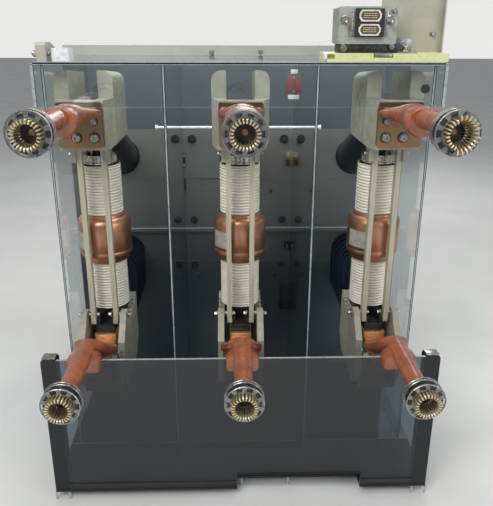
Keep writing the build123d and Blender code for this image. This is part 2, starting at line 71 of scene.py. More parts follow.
# ---- colour and node helpers ----
def linear(hex_colour):
    """A linear RGB triple from an sRGB hex value such as "#8A8A82"."""
    parts = [int(hex_colour[i : i + 2], 16) / 255 for i in (1, 3, 5)]
    return tuple(c / 12.92 if c <= 0.04045 else ((c + 0.055) / 1.055) ** 2.4 for c in parts)


def node(tree, kind, settings=None, **links):
    """Add one node, set its properties and sockets, and link outputs to it.

    A link is named for its socket, with _ for a blank, or i and the socket's number.
    """
    made = tree.nodes.new(kind)
    for key, value in (settings or {}).items():
        if isinstance(key, str) and hasattr(made, key):
            setattr(made, key, value)
        else:
            made.inputs[key].default_value = value
    for key, source in links.items():
        socket = int(key[1:]) if key[1:].isdigit() else key.replace("_", " ")
        tree.links.new(source, made.inputs[socket])
    return made


def box_mm(name):
    """Low and high corner of a node of the frame, in millimetres."""
    low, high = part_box(name)
    return low / MM, high / MM


# ---- mesh helpers, all in millimetres ----
def ease(bm, faces, slot, bevel):
    """Ease the edges of a part by a bevel, and give the whole part its finish."""
    if bevel:
        edges = list(set(edge for face in faces for edge in face.edges))
        made = bmesh.ops.bevel(bm, geom=edges, offset=bevel, segments=2, affect="EDGES", profile=0.5)
        faces = set(face for rim in made["faces"] for vert in rim.verts for face in vert.link_faces)
    for face in faces:
        face.material_index = slot


def block(bm, corner, opposite, slot=0, bevel=0.0):
    """An axis-aligned block between two opposite corners."""
    part = bmesh.ops.create_cube(bm, size=1.0)["verts"]
    ends = [sorted(pair) for pair in zip(Vector(corner), Vector(opposite))]
    for vert in part:
        vert.co = Vector(low + (c + 0.5) * (high - low) for c, (low, high) in zip(vert.co, ends))
    ease(bm, set(face for vert in part for face in vert.link_faces), slot, bevel)


def ring_points(centre, axis, radius, count, turn=0.0):
    """Points of a circle about an axis, the first one towards the axis's own sideways direction."""
    axis = Vector(axis).normalized()
    side = Z_AXIS.cross(axis) if abs(axis.z) < 0.9 else X_AXIS.copy()
    side = (side - axis * side.dot(axis)).normalized()
    other = axis.cross(side)
    angles = [turn + 2 * math.pi * n / count for n in range(count)]
    return [Vector(centre) + side * radius * math.cos(a) + other * radius * math.sin(a) for a in angles]


def skin(bm, rings, slot=0, capped=True, closed=False):
    """A skin over rings of equal counts, with capped ends or closed into a loop."""
    grid = [[bm.verts.new(point) for point in ring] for ring in rings]
    if closed:
        grid.append(grid[0])
    faces = []
    for near, far in zip(grid, grid[1:]):
        for n in range(len(near)):
            m = (n + 1) % len(near)
            faces.append(bm.faces.new((near[n], near[m], far[m], far[n])))
    if capped:
        faces.append(bm.faces.new(list(reversed(grid[0]))))
        faces.append(bm.faces.new(grid[-1]))
    for face in faces:
        face.material_index = slot


def lathe(bm, origin, axis, profile, slot=0, count=48, closed=False):
    """A turned form: profile holds (distance along the axis, radius) pairs."""
    axis = Vector(axis).normalized()
    rings = [ring_points(Vector(origin) + axis * along, axis, radius, count) for along, radius in profile]
    skin(bm, rings, slot, not closed, closed)


def prism(bm, outline, depth, slot=0, bevel=0.0):
    """A plate from a flat outline of points, thickened along a vector."""
    front = [bm.verts.new(Vector(point)) for point in outline]
    made = bmesh.ops.extrude_face_region(bm, geom=[bm.faces.new(front)])
    moved = [item for item in made["geom"] if isinstance(item, bmesh.types.BMVert)]
    bmesh.ops.translate(bm, verts=moved, vec=Vector(depth))
    ease(bm, set(face for vert in front + moved for face in vert.link_faces), slot, bevel)


def bolt(bm, at, axis, across, height, slot=0, washer=1.0, washer_slot=None, socket=False):
    """A screw head on its washers: a chamfered hexagon, or a round head with a hexagon socket."""
    at, axis = Vector(at), Vector(axis).normalized()
    washer_slot = slot if washer_slot is None else washer_slot
    reach = across * 0.5 * 1.75 * washer
    lathe(bm, at, axis, ((0, reach), (1.4, reach), (2.0, reach - 0.6), (2.0, across * 0.4)), washer_slot, 24)
    lathe(bm, at + axis * 2, axis, ((0, across * 0.62), (1.8, across * 0.62), (1.8, across * 0.3)), slot, 20)
    seat = at + axis * 3.8
    if socket:
        r = across * 0.55
        profile = ((0, r), (height - 1, r), (height, r - 1), (height, r * 0.5), (height * 0.45, r * 0.5))
        lathe(bm, seat, axis, profile, slot, 24)
        return
    r = across / math.sqrt(3)
    head = ((0, r), (height - 1.2, r), (height, r * 0.84))
    skin(bm, [ring_points(seat + axis * along, axis, radius, 6) for along, radius in head], slot)


def rounded_bar(mid_x, y, mid_z, half_w, half_h):
    """Outline of a bar with eased corners, facing the front."""
    cut = 4.5
    corner = ((0, 0.35), (cut * 0.5, 0.6), (cut, 1))
    outline = []
    for side, up, order in ((-1, -1, 1), (1, -1, -1), (1, 1, 1), (-1, 1, -1)):
        for inset, share in corner[::order]:
            outline.append(Vector((mid_x + side * (half_w - inset), y, mid_z + up * half_h * share)))
    return outline


def piece(name, bm, finishes, stands_for=(), smooth_angle=35.0):
    """Turn a mesh in millimetres into a named piece that rides on the truck.

    Its finishes fill its material slots in order, and it may stand for solids of the frame, which it then
    hides.
    """
    bmesh.ops.recalc_face_normals(bm, faces=bm.faces)
    bmesh.ops.scale(bm, vec=Vector((MM, MM, MM)), verts=bm.verts)
    mesh = bpy.data.meshes.new(name)
    bm.to_mesh(mesh)
    bm.free()
    made = bpy.data.objects.new(name, mesh)
    bpy.context.scene.collection.objects.link(made)
    for coat in finishes:
        mesh.materials.append(finish(coat))
    mesh.shade_smooth()
    mesh.set_sharp_from_angle(angle=math.radians(smooth_angle))
    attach(made, "root")
    if stands_for:
        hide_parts(*stands_for)


# ---- settings ----
def size(key):
    """A length of the sizes group, in millimetres."""
    return getattr(bpy.context.scene.breaker_sizes, key) / MM


def tone(colour, share=1.0):
    """Linear RGBA of an sRGB hex value or of a colour of the finishes group, darkened by a share.

    A pair holds the colour and a share of its own.
    """
    name, own = (colour, 1.0) if isinstance(colour, str) else colour
    base = linear(name) if name[0] == "#" else getattr(bpy.context.scene.breaker_finishes, name)
    return (*(c * own * share for c in base[:3]), 1.0)


# ---- materials ----
COLOUR_A, COLOUR_B, COLOUR_OUT = 6, 7, 2  # sockets of a Mix node that mixes colours
PEEL_DEPTH, GRAIN_DEPTH = 0.3 * MM, 0.4 * MM
_made = {}


def finish(name):
    """The material of that name, made once."""
    if name not in _made:
        mat = bpy.data.materials.new(name)
        mat.use_nodes = True
        tree = mat.node_tree
        tree.nodes.clear()
        node(tree, "ShaderNodeOutputMaterial", None, Surface=FINISHES[name](tree))
        _made[name] = mat
    return _made[name]


def worn_surface(fresh, worn, blotch_mm, shader, rough, bump=0.0, grain_mm=1.0, stretch=(1, 1, 1)):
    """A surface whose colour drifts towards a worn one in blotches, with matching roughness.

    The worn colour is a share of the fresh one, or a colour of its own. The grain of the bump is drawn as
    coarse as it needs to show.
    """

    def build(tree):
        place = node(tree, "ShaderNodeTexCoord").outputs["Object"]
        place = node(tree, "ShaderNodeMapping", {"Scale": stretch}, Vector=place).outputs[0]
        noise = {"Scale": 1 / (blotch_mm * MM), "Detail": 4.0, "Roughness": 0.55}
        cloud = node(tree, "ShaderNodeTexNoise", noise, Vector=place).outputs["Fac"]
        drift = node(tree, "ShaderNodeMapRange", {"From Min": 0.42, "From Max": 0.68}, Value=cloud)
        second = tone(fresh, worn) if isinstance(worn, float) else tone(worn)
        mix = {"data_type": "RGBA", COLOUR_A: tone(fresh), COLOUR_B: second}
        colour = node(tree, "ShaderNodeMix", mix, Factor=drift.outputs[0]).outputs[COLOUR_OUT]
        span = {"From Min": 0.3, "From Max": 0.7, "To Min": rough[0], "To Max": rough[1]}
        gloss = node(tree, "ShaderNodeMapRange", span, Value=cloud).outputs[0]
        surface = node(tree, "ShaderNodeBsdfPrincipled", shader, Base_Color=colour, Roughness=gloss)
        if bump:
            grain = {"Scale": 1 / (grain_mm * MM), "Detail": 3.0, "Roughness": 0.55}
            grain = node(tree, "ShaderNodeTexNoise", grain, Vector=place).outputs["Fac"]
            lift = node(tree, "ShaderNodeBump", {"Strength": bump, "Distance": GRAIN_DEPTH}, Height=grain)
            tree.links.new(lift.outputs[0], surface.inputs["Normal"])
        return surface.outputs[0]

    return build


def clear_sheet(tint, roughness):
    """A polycarbonate sheet that lamps shine through; its faces mirror as that plastic does."""

    def build(tree):
        clear = {"Base Color": tone(tint), "Transmission Weight": 1.0, "Roughness": roughness, "IOR": 1.58}
        faces = node(tree, "ShaderNodeBsdfPrincipled", clear).outputs[0]
        lamplight = node(tree, "ShaderNodeBsdfTransparent", {"Color": tone(tint)}).outputs[0]
        shadow = node(tree, "ShaderNodeLightPath").outputs["Is Shadow Ray"]
        return node(tree, "ShaderNodeMixShader", None, Fac=shadow, i1=faces, i2=lamplight).outputs[0]

    return build


def shade_banded_enamel(tree):
    """Enamel in bands by height, from the pan up to the strip above the hood, with rubbed patches; the bands
    below the strip are painted shade, darker towards the pan and behind the hood, on enamel that is the
    strip's pale grey.
    """
    place = node(tree, "ShaderNodeTexCoord").outputs["Object"]
    height = node(tree, "ShaderNodeSeparateXYZ", None, Vector=place).outputs["Z"]
    noise = {"Scale": 1 / (160 * MM), "Detail": 6.0, "Roughness": 0.6}
    cloud = node(tree, "ShaderNodeTexNoise", noise, Vector=place).outputs["Fac"]
    base, paint = {COLOUR_A: tone("wall_low")}, {}
    # heights in metres at which each band starts and is complete, and its colour; the bands below the top
    # strip are painted shade
    shade_bands = ((0.34, 0.84, "wall"), (0.812, 0.816, "wall_upper"), (1.015, 1.018, "wall_strip"))
    for low, high, upper in shade_bands:
        step = node(tree, "ShaderNodeMapRange", {"From Min": low, "From Max": high}, Value=height)
        mix = {"data_type": "RGBA", COLOUR_B: tone(upper), **base}
        mixed = node(tree, "ShaderNodeMix", mix, Factor=step.outputs[0], **paint)
        base, paint = {}, {f"i{COLOUR_A}": mixed.outputs[COLOUR_OUT]}
    span = {"From Min": 0.45, "From Max": 0.75, "To Max": 0.25}
    rubbed = node(tree, "ShaderNodeMapRange", span, Value=cloud).outputs[0]
    mix = {"data_type": "RGBA", COLOUR_B: tone("wall", 0.7)}
    colour = node(tree, "ShaderNodeMix", mix, Factor=rubbed, **paint).outputs[COLOUR_OUT]
    peel = {"Scale": 1 / (3 * MM), "Detail": 2.0, "Roughness": 0.55}
    peel = node(tree, "ShaderNodeTexNoise", peel, Vector=place).outputs["Fac"]
    lift = node(tree, "ShaderNodeBump", {"Strength": 0.12, "Distance": PEEL_DEPTH}, Height=peel).outputs[0]
    span = {"From Min": 0.3, "From Max": 0.7, "To Min": 0.38, "To Max": 0.55}
    gloss = node(tree, "ShaderNodeMapRange", span, Value=cloud).outputs[0]
    links = {"Normal": lift, "Base_Color": colour, "Roughness": gloss}
    return node(tree, "ShaderNodeBsdfPrincipled", {"IOR": 1.5}, **links).outputs[0]


def coated(ior, weight, roughness):
    """Shader values of a material under a clear glossy coat."""
    return {"IOR": ior, "Coat Weight": weight, "Coat Roughness": roughness}


METAL = {"Metallic": 1.0}
ENAMEL = {"IOR": 1.5}
POLYESTER = {"IOR": 1.52}
PHENOLIC = {"IOR": 1.6}
COPPER_LACQUER = {"Metallic": 0.9, "Coat Weight": 0.4, "Coat Roughness": 0.25}
NYLON = {"IOR": 1.53, "Subsurface Weight": 0.15, "Subsurface Scale": 0.004}

FINISHES = {
    # Glazed alumina ceramic: a hard white body under clear glaze.
    "glazed_alumina": worn_surface("ceramic", 0.86, 30, coated(1.55, 0.5, 0.12), (0.28, 0.4)),
    # Painted shade in the glazed grooves between the sheds: dull and a good deal darker.
    "groove_glaze": worn_surface(("ceramic", 0.62), ("ceramic", 0.5), 20, {"IOR": 1.55}, (0.5, 0.6)),
    # Lacquered copper: spun sheet under clear lacquer, brown where the lacquer has aged.
    "lacquered_copper": worn_surface("copper", 0.6, 45, COPPER_LACQUER, (0.28, 0.42), 0.15, 4, (1, 1, 0.3)),
    # Glass-filled polyester moulding: satin, slightly mottled grey-beige with fine fibre grain.
    "polyester_moulding": worn_surface("moulding", 0.8, 24, POLYESTER, (0.42, 0.58), 0.25, 1.5),
    # Pultruded glass fibre bar: pale tan, with long fibres that streak it from end to end.
    "pultruded_bar": worn_surface("strut", 0.72, 5, POLYESTER, (0.35, 0.5), 0.2, 1.2, (1, 1, 0.04)),
    # Cast cycloaliphatic resin: near black with a blue cast and a glossy skin.
    "cast_resin": worn_surface("resin", 1.7, 40, coated(1.52, 0.35, 0.1), (0.28, 0.4)),
    # Fluidised-bed epoxy sleeve: thick red-brown coat that pooled and set glossy.
    "epoxy_sleeve": worn_surface("sleeve", 0.62, 22, coated(1.5, 0.8, 0.08), (0.25, 0.42), 0.5, 9),
    # Silver-plated copper: bright where it rubs, brown-grey where it has tarnished.
    "silver_plate": worn_surface("finger", 0.7, 5, METAL, (0.38, 0.55)),
    # Zinc-plated pressed steel: blue-grey, with soft clouds from the plating bath.
    "zinc_plate": worn_surface("zinc", 0.6, 9, METAL, (0.3, 0.5)),
    # Nickel plate over copper: warm and bright, with faint clouds.
    "nickel_plate": worn_surface("nickel", 0.6, 8, METAL, (0.2, 0.35)),
    # Tinned copper bar: dull brown-grey metal that shows copper where it was rubbed.
    "tinned_copper": worn_surface("tinned", ("copper", 0.55), 18, {"Metallic": 0.85}, (0.35, 0.55), 0.2, 3),
    # Bare copper leaf: orange metal that has started to brown.
    "bare_copper": worn_surface("leaf", 0.6, 14, METAL, (0.42, 0.6), 0.2, 2, (1, 1, 6)),
    # Red insulating varnish brushed over a moulding: dark brown, thin at the edges.
    "red_varnish": worn_surface("#6B463A", "#523630", 18, coated(1.5, 0.3, 0.2), (0.35, 0.5), 0.2, 3),
    # Black phenolic moulding: soft satin black.
    "phenolic": worn_surface("#16171B", "#24262B", 12, PHENOLIC, (0.35, 0.5), 0.2, 1.5),
    # Brown phenolic of the pin carriers: the same moulding, unpigmented.
    "brown_phenolic": worn_surface("#5B4A3C", "#41342A", 6, PHENOLIC, (0.4, 0.55), 0.2, 1.5),
    # Bright-zinc screw: small, pale and reflective.
    "screw_steel": worn_surface("#B9B7B0", "#77746C", 4, METAL, (0.25, 0.45)),
    # Blackened steel of screws, clips and feet: dark oxide with a low metal gloss.
    "black_screw": worn_surface("#2A2C2E", "#4C4D4B", 5, {"Metallic": 0.6}, (0.35, 0.55)),
    # Stoved enamel on the wall's sheet steel: an even grey with a faint orange peel and rubbed patches,
    # painted darker below the top strip in bands of shade.
    "wall_enamel": shade_banded_enamel,
    # Textured enamel on the housing: paler grey.
    "pale_enamel": worn_surface("pale", 0.94, 60, ENAMEL, (0.4, 0.55), 0.15, 2.5),
    # Powder coat on the pan and posts: blue-black, slightly dusty.
    "powder_coat": worn_surface("frame", 1.7, 70, ENAMEL, (0.3, 0.5), 0.2, 1.5),
    # Polycarbonate sheet: water clear, with a cool edge.
    "polycarbonate": clear_sheet("#F1F6F7", 0.02),
    # Front sheet: the same sheet with a dark blue-grey tint, which darkens what is seen through it.
    "smoked_polycarbonate": clear_sheet("#6F7B88", 0.03),
    # Sawn sheet edge: a pale grey opaque line, the frosted edge brightened into a painted highlight of the
    # light it catches.
    "sheet_edge": worn_surface("#A3AAAC", "#828C90", 12, {"IOR": 1.58}, (0.25, 0.4)),
    # Natural nylon: translucent white, satin.
    "natural_nylon": worn_surface("#E4E6E4", "#C2C7C6", 10, NYLON, (0.3, 0.4)),
    # Glass epoxy laminate: yellow-green sheet with a woven shade.
    "glass_epoxy": worn_surface("laminate", 0.85, 7, {"IOR": 1.55}, (0.3, 0.45), 0.3, 2),
    # Die-cast hood of a multi-pole plug: grey-green enamel over a slightly rough casting.
    "plug_enamel": worn_surface("plug", 0.78, 15, ENAMEL, (0.4, 0.55), 0.35, 1.8),
    # Beige enamel on the plate behind the plug: satin, hardly worn.
    "beige_enamel": worn_surface("beige", 0.85, 50, ENAMEL, (0.45, 0.6), 0.15, 2),
    # Dull red enamel of the blank plate on the wall.
    "blank_plate_enamel": worn_surface("#7A3B38", "#5E3432", 16, ENAMEL, (0.4, 0.6)),
    # Paper label stock left blank: flat warm white.
    "blank_label": worn_surface("#DAD6CC", "#BDB8AC", 14, {"IOR": 1.45}, (0.5, 0.65)),
    # Matt studio floor: pale and nearly even.
    "stage_matt": worn_surface("#D6D6D3", "#CFCFCC", 400, {"IOR": 1.45}, (0.7, 0.8)),
}

# which finish each kind of CAD node takes
NODE_FINISH = {
    "ceramics": "glazed_alumina",
    "shield": "lacquered_copper",
    "head": "polyester_moulding",
    "support": "polyester_moulding",
    "struts": "pultruded_bar",
    "insulators": "cast_resin",
    "arms": "epoxy_sleeve",
    "tulips": "zinc_plate",
    "terminal_plates": "tinned_copper",
    "end_rings": "nickel_plate",
    "couplings": "phenolic",
    "terminal_bars": "bare_copper",
    "interphase_barriers": "polycarbonate",
    "side_sheets": "polycarbonate",
    "hood": "polycarbonate",
    "floor_sheet": "polycarbonate",
    "front_sheet": "smoked_polycarbonate",
    "spacer_rod": "natural_nylon",
    "posts": "powder_coat",
    "base_pan": "powder_coat",
    "runners": "polycarbonate",
    "wall_panel": "wall_enamel",
    "wall_ledges": "wall_enamel",
    "housing": "pale_enamel",
    "operator_cover": "pale_enamel",
    "glass_fibre_plate": "glass_epoxy",
    "tall_plate": "beige_enamel",
    "plug_box": "plug_enamel",
    "plug_insert": "phenolic",
    "guide_pegs": "screw_steel",
    "latch_lug": "beige_enamel",
    "stop_block": "natural_nylon",
}


def colour_choice(hex_value, name, description):
    """A colour that the user may change."""
    shown = {"name": name, "description": description, "subtype": "COLOR", "min": 0.0, "max": 1.0}
    return bpy.props.FloatVectorProperty(size=3, default=linear(hex_value), **shown)


def length_choice(mm, name, description):
    """A length that the user may change."""
    shown = {"name": name, "description": description, "subtype": "DISTANCE", "unit": "LENGTH"}
    return bpy.props.FloatProperty(default=mm * MM, min=0.0, precision=5, **shown)


def count_choice(default, name, description):
    """A count that the user may change."""
    return bpy.props.IntProperty(name=name, description=description, min=3, max=64, default=default)


class BreakerSizes(bpy.types.PropertyGroup):
    """Sizes of the fittings that dress the truck."""

    shed_pitch: length_choice(7.55, "Shed pitch", "Distance between two sheds of a ceramic")
    groove_radius: length_choice(48.0, "Groove radius", "Radius of the ceramic between two sheds")
    edge_width: length_choice(3.0, "Edge width", "Width of the sawn edge of a clear sheet")
    edge_lift: length_choice(0.35, "Edge lift", "How far a sawn edge stands off its sheet")
    rim_width: length_choice(1.6, "Rim width", "Width of the bright rim of a tulip ring")
    fingers: count_choice(24, "Fingers", "Contact fingers of one tulip")
    windows: count_choice(10, "Windows", "Windows in one ring of a tulip")
    leaves: count_choice(7, "Leaves", "Copper leaves under one coupling")


class BreakerFinishes(bpy.types.PropertyGroup):
    """Colours of the truck's parts."""

    ceramic: colour_choice("#E6E0D0", "Ceramic", "Glazed ceramic of the interrupters")
    copper: colour_choice("#C48E6E", "Shield copper", "Lacquered copper shield round the contacts")
    moulding: colour_choice("#989485", "Moulding", "Polyester mouldings at both ends of a pole")
    strut: colour_choice("#B4AF9A", "Strut", "Glass fibre struts beside the interrupters")
    resin: colour_choice("#141926", "Resin", "Cast resin insulators behind the poles")
    sleeve: colour_choice("#9C573A", "Sleeve", "Epoxy sleeves of the disconnect arms")
    finger: colour_choice("#E9DCBC", "Fingers", "Contact fingers of the tulips")
    zinc: colour_choice("#9A9C9C", "Zinc", "Pressed rings of the tulips")
    nickel: colour_choice("#C9C5BA", "Nickel", "Plated fittings above the ceramics")
    tinned: colour_choice("#86745A", "Tinned copper", "Terminal plates on the heads")
    leaf: colour_choice("#EDBE94", "Copper leaf", "Laminated bars under the interrupters")
    # the wall's own enamel is the top strip's pale grey; the wall, behind-hood and lower colours are painted
    # shade
    wall: colour_choice("#6E6D67", "Wall, upper", "Enamel of the wall behind the poles")
    wall_upper: colour_choice("#4A4E52", "Wall, behind hood", "Enamel of the wall above the panel")
    wall_strip: colour_choice("#A3A59D", "Wall, top strip", "Enamel of the strip above the hood")
    wall_low: colour_choice("#3A3F45", "Wall, lower", "Enamel of the wall near the pan")
    pale: colour_choice("#A3A49E", "Housing", "Enamel of the mechanism housing")
    frame: colour_choice("#0C0F14", "Frame", "Powder coat of the pan and posts")
    laminate: colour_choice("#D3D69B", "Laminate", "Glass epoxy plate under the plug")
    plug: colour_choice("#9DA39A", "Plug", "Die-cast plug housing")
    beige: colour_choice("#A9A696", "Tall plate", "Plate behind the plug")


# ---- operators ----
class BREAKER_OT_stage(bpy.types.Operator):
    """Lay the floor and set the camera, the lamps and the surroundings."""

    bl_idname = "breaker.stage"
    bl_label = "Stage"

    # in metres, degrees and watts; lens and film in millimetres
    FLOOR_REACH = 30.0
    CAMERA_AT = (-0.02538, -1.51788, 1.07654)
    CAMERA_TURN = (70.2913, -0.1518, -1.5691)
    CAMERA_LENS = 43.28
    FILM_WIDTH = 36.0
    # name, place, target, width, power
    LAMPS = (
        ("lamp_key", (-1.3, -2.4, 2.9), (0.0, 0.0, 0.55), 1.9, 76.0),
        ("lamp_fill", (2.2, -2.2, 1.5), (0.0, 0.0, 0.5), 2.2, 26.0),
        ("lamp_top", (0.2, 0.1, 3.4), (0.0, 0.1, 0.4), 2.4, 46.0),
        ("lamp_back", (0.6, 3.4, 2.4), (0.0, 0.5, 0.5), 2.2, 36.0),
    )

    def execute(self, context):
        scene = context.scene
        scene.view_settings.view_transform = "Standard"

        bm = bmesh.new()
        corners = ((-1, -1, 0), (1, -1, 0), (1, 1, 0), (-1, 1, 0))
        bm.faces.new([bm.verts.new(Vector(corner) * self.FLOOR_REACH) for corner in corners])
        mesh = bpy.data.meshes.new("stage_floor")
        bm.to_mesh(mesh)
        bm.free()
        floor = bpy.data.objects.new("stage_floor", mesh)
        scene.collection.objects.link(floor)
        mesh.materials.append(finish("stage_matt"))

        for name, at, target, width, power in self.LAMPS:
            data = bpy.data.lights.new(name, "AREA")
            data.shape = "DISK"
            data.size = width
            data.energy = power
            lamp = bpy.data.objects.new(name, data)
            lamp.location = at
            lamp.rotation_mode = "QUATERNION"
            lamp.rotation_quaternion = (Vector(target) - Vector(at)).to_track_quat("-Z", "Y")
            scene.collection.objects.link(lamp)

        world = bpy.data.worlds.new("studio")
        world.use_nodes = True
        tree = world.node_tree
        tree.nodes.clear()
        rays = node(tree, "ShaderNodeLightPath").outputs
        seen = {"i0": rays["Is Camera Ray"], "i1": rays["Is Transmission Ray"]}
        seen = node(tree, "ShaderNodeMath", {"operation": "MAXIMUM"}, **seen).outputs[0]
        soft = node(tree, "ShaderNodeBackground", {"Color": tone("#E8ECF0"), "Strength": 0.42}).outputs[0]
        pale = node(tree, "ShaderNodeBackground", {"Color": tone("#E9E9E7"), "Strength": 1.0}).outputs[0]
        mixed = node(tree, "ShaderNodeMixShader", None, Fac=seen, i1=soft, i2=pale)
        out = node(tree, "ShaderNodeOutputWorld", None, Surface=mixed.outputs[0])
        out.is_active_output = True
        scene.world = world

        data = bpy.data.cameras.new("camera")
        data.sensor_fit = "AUTO"
        data.sensor_width = self.FILM_WIDTH
        data.lens = self.CAMERA_LENS
        camera = bpy.data.objects.new("camera", data)
        camera.location = self.CAMERA_AT
        camera.rotation_euler = tuple(math.radians(a) for a in self.CAMERA_TURN)
        scene.collection.objects.link(camera)
        scene.camera = camera
        return {"FINISHED"}


class BREAKER_OT_finishes(bpy.types.Operator):
    """Give every solid of the frame the finish of its kind."""

    bl_idname = "breaker.finishes"
    bl_label = "Finishes"

    def execute(self, context):
        for name, solid in NODES.items():
            kind = next(key for key in NODE_FINISH if name == key or name.startswith(key + "_"))
            solid.data.materials.clear()
            solid.data.materials.append(finish(NODE_FINISH[kind]))
        return {"FINISHED"}


class BREAKER_OT_interrupters(bpy.types.Operator):
    """Turn the glazed ceramics with their sheds and the lacquered shields between them."""

    bl_idname = "breaker.interrupters"
    bl_label = "Interrupters"

    def ceramic(self, bm, x, start, end):
        """Sheds of one ceramic with painted shade on the core between them, and the plain band at the end
        away from the shield.
        """
        pitch = size("shed_pitch")
        root = size("groove_radius")
        length = abs(end - start)
        sheds = int((length - 3) / pitch)
        rest = sheds * pitch
        foot, axis = (x, 0, start), (0, 0, math.copysign(1, end - start))
        # the core between the sheds takes slot 1, darkened as painted shade in the grooves
        lathe(bm, foot, axis, ((0, root), (length, root)), 1, 72)
        # over one shed: share of the pitch, radius
        rise = ((0.06, root), (0.12, 48.9), (0.26, 50.4), (0.5, 51.0))
        rise += ((0.72, 50.6), (0.88, 49.0), (0.94, root))
        for n in range(sheds):
            lathe(bm, foot, axis, [((n + share) * pitch, radius) for share, radius in rise], 0, 72)
        band = ((rest + 0.4, root), (rest + 1.4, 50.0), (length - 1, 50.4), (length, 48.0))
        lathe(bm, foot, axis, band, 0, 72)

    def shield(self, bm, x, low_z, high_z, r):
        """The spun copper shield: a rolled foot, a shoulder, a fine groove, and a stepped crown."""
        foot = ((0, 46.0), (0.2, 53.0), (1.4, 55.6), (3.5, 56.6), (9.0, 56.8))
        shoulder = ((11.0, 58.2), (14.5, 62.0), (19.0, 65.4), (24.5, r - 0.2), (30.0, r))
        groove = ((31.0, r - 0.7), (32.4, r - 0.7), (33.4, r))
        # measured down from the top
        fall = ((-34.0, r), (-24.0, r - 0.4), (-17.0, r - 2.4), (-11.5, r - 6.4), (-9.0, 57.0))
        crown = ((-8.0, 54.6), (-4.0, 54.2), (-1.2, 53.4), (-0.2, 51.0), (0, 44.0))
        profile = foot + shoulder + groove
        profile += tuple((high_z - low_z + down, radius) for down, radius in fall + crown)
        lathe(bm, (x, 0, low_z), Z_AXIS, profile, 0, 96)

    def label(self, bm, x, low_z, high_z, r):
        """A blank label, curved round the left side of the shield."""
        across = [math.radians(a) for a in range(196, 247, 5)]
        rows = []
        for z in (low_z, high_z):
            rows.append([bm.verts.new((x + r * math.cos(a), r * math.sin(a), z)) for a in across])
        for n in range(len(across) - 1):
            bm.faces.new((rows[0][n], rows[0][n + 1], rows[1][n + 1], rows[1][n]))
        bmesh.ops.solidify(bm, geom=bm.faces[:], thickness=0.2)

    def execute(self, context):
        for pole, x in POLES.items():
            low, high = box_mm(f"shield_{pole}")
            r = (high.x - low.x) / 2
            bottom, top = (corner.z for corner in box_mm(f"ceramics_{pole}"))
            bm = bmesh.new()
            self.ceramic(bm, x, low.z, bottom)
            self.ceramic(bm, x, high.z, top)
            finishes = ["glazed_alumina", "groove_glaze"]
            piece(f"glazed_sheds_{pole}", bm, finishes, [f"ceramics_{pole}"], 60)
            bm = bmesh.new()
            self.shield(bm, x, low.z, high.z, r)
            piece(f"spun_shield_{pole}", bm, ["lacquered_copper"], [f"shield_{pole}"], 50)
            bm = bmesh.new()
            self.label(bm, x, low.z + 40, low.z + 84, r + 0.25)
            piece(f"bare_label_{pole}", bm, ["blank_label"])
        return {"FINISHED"}


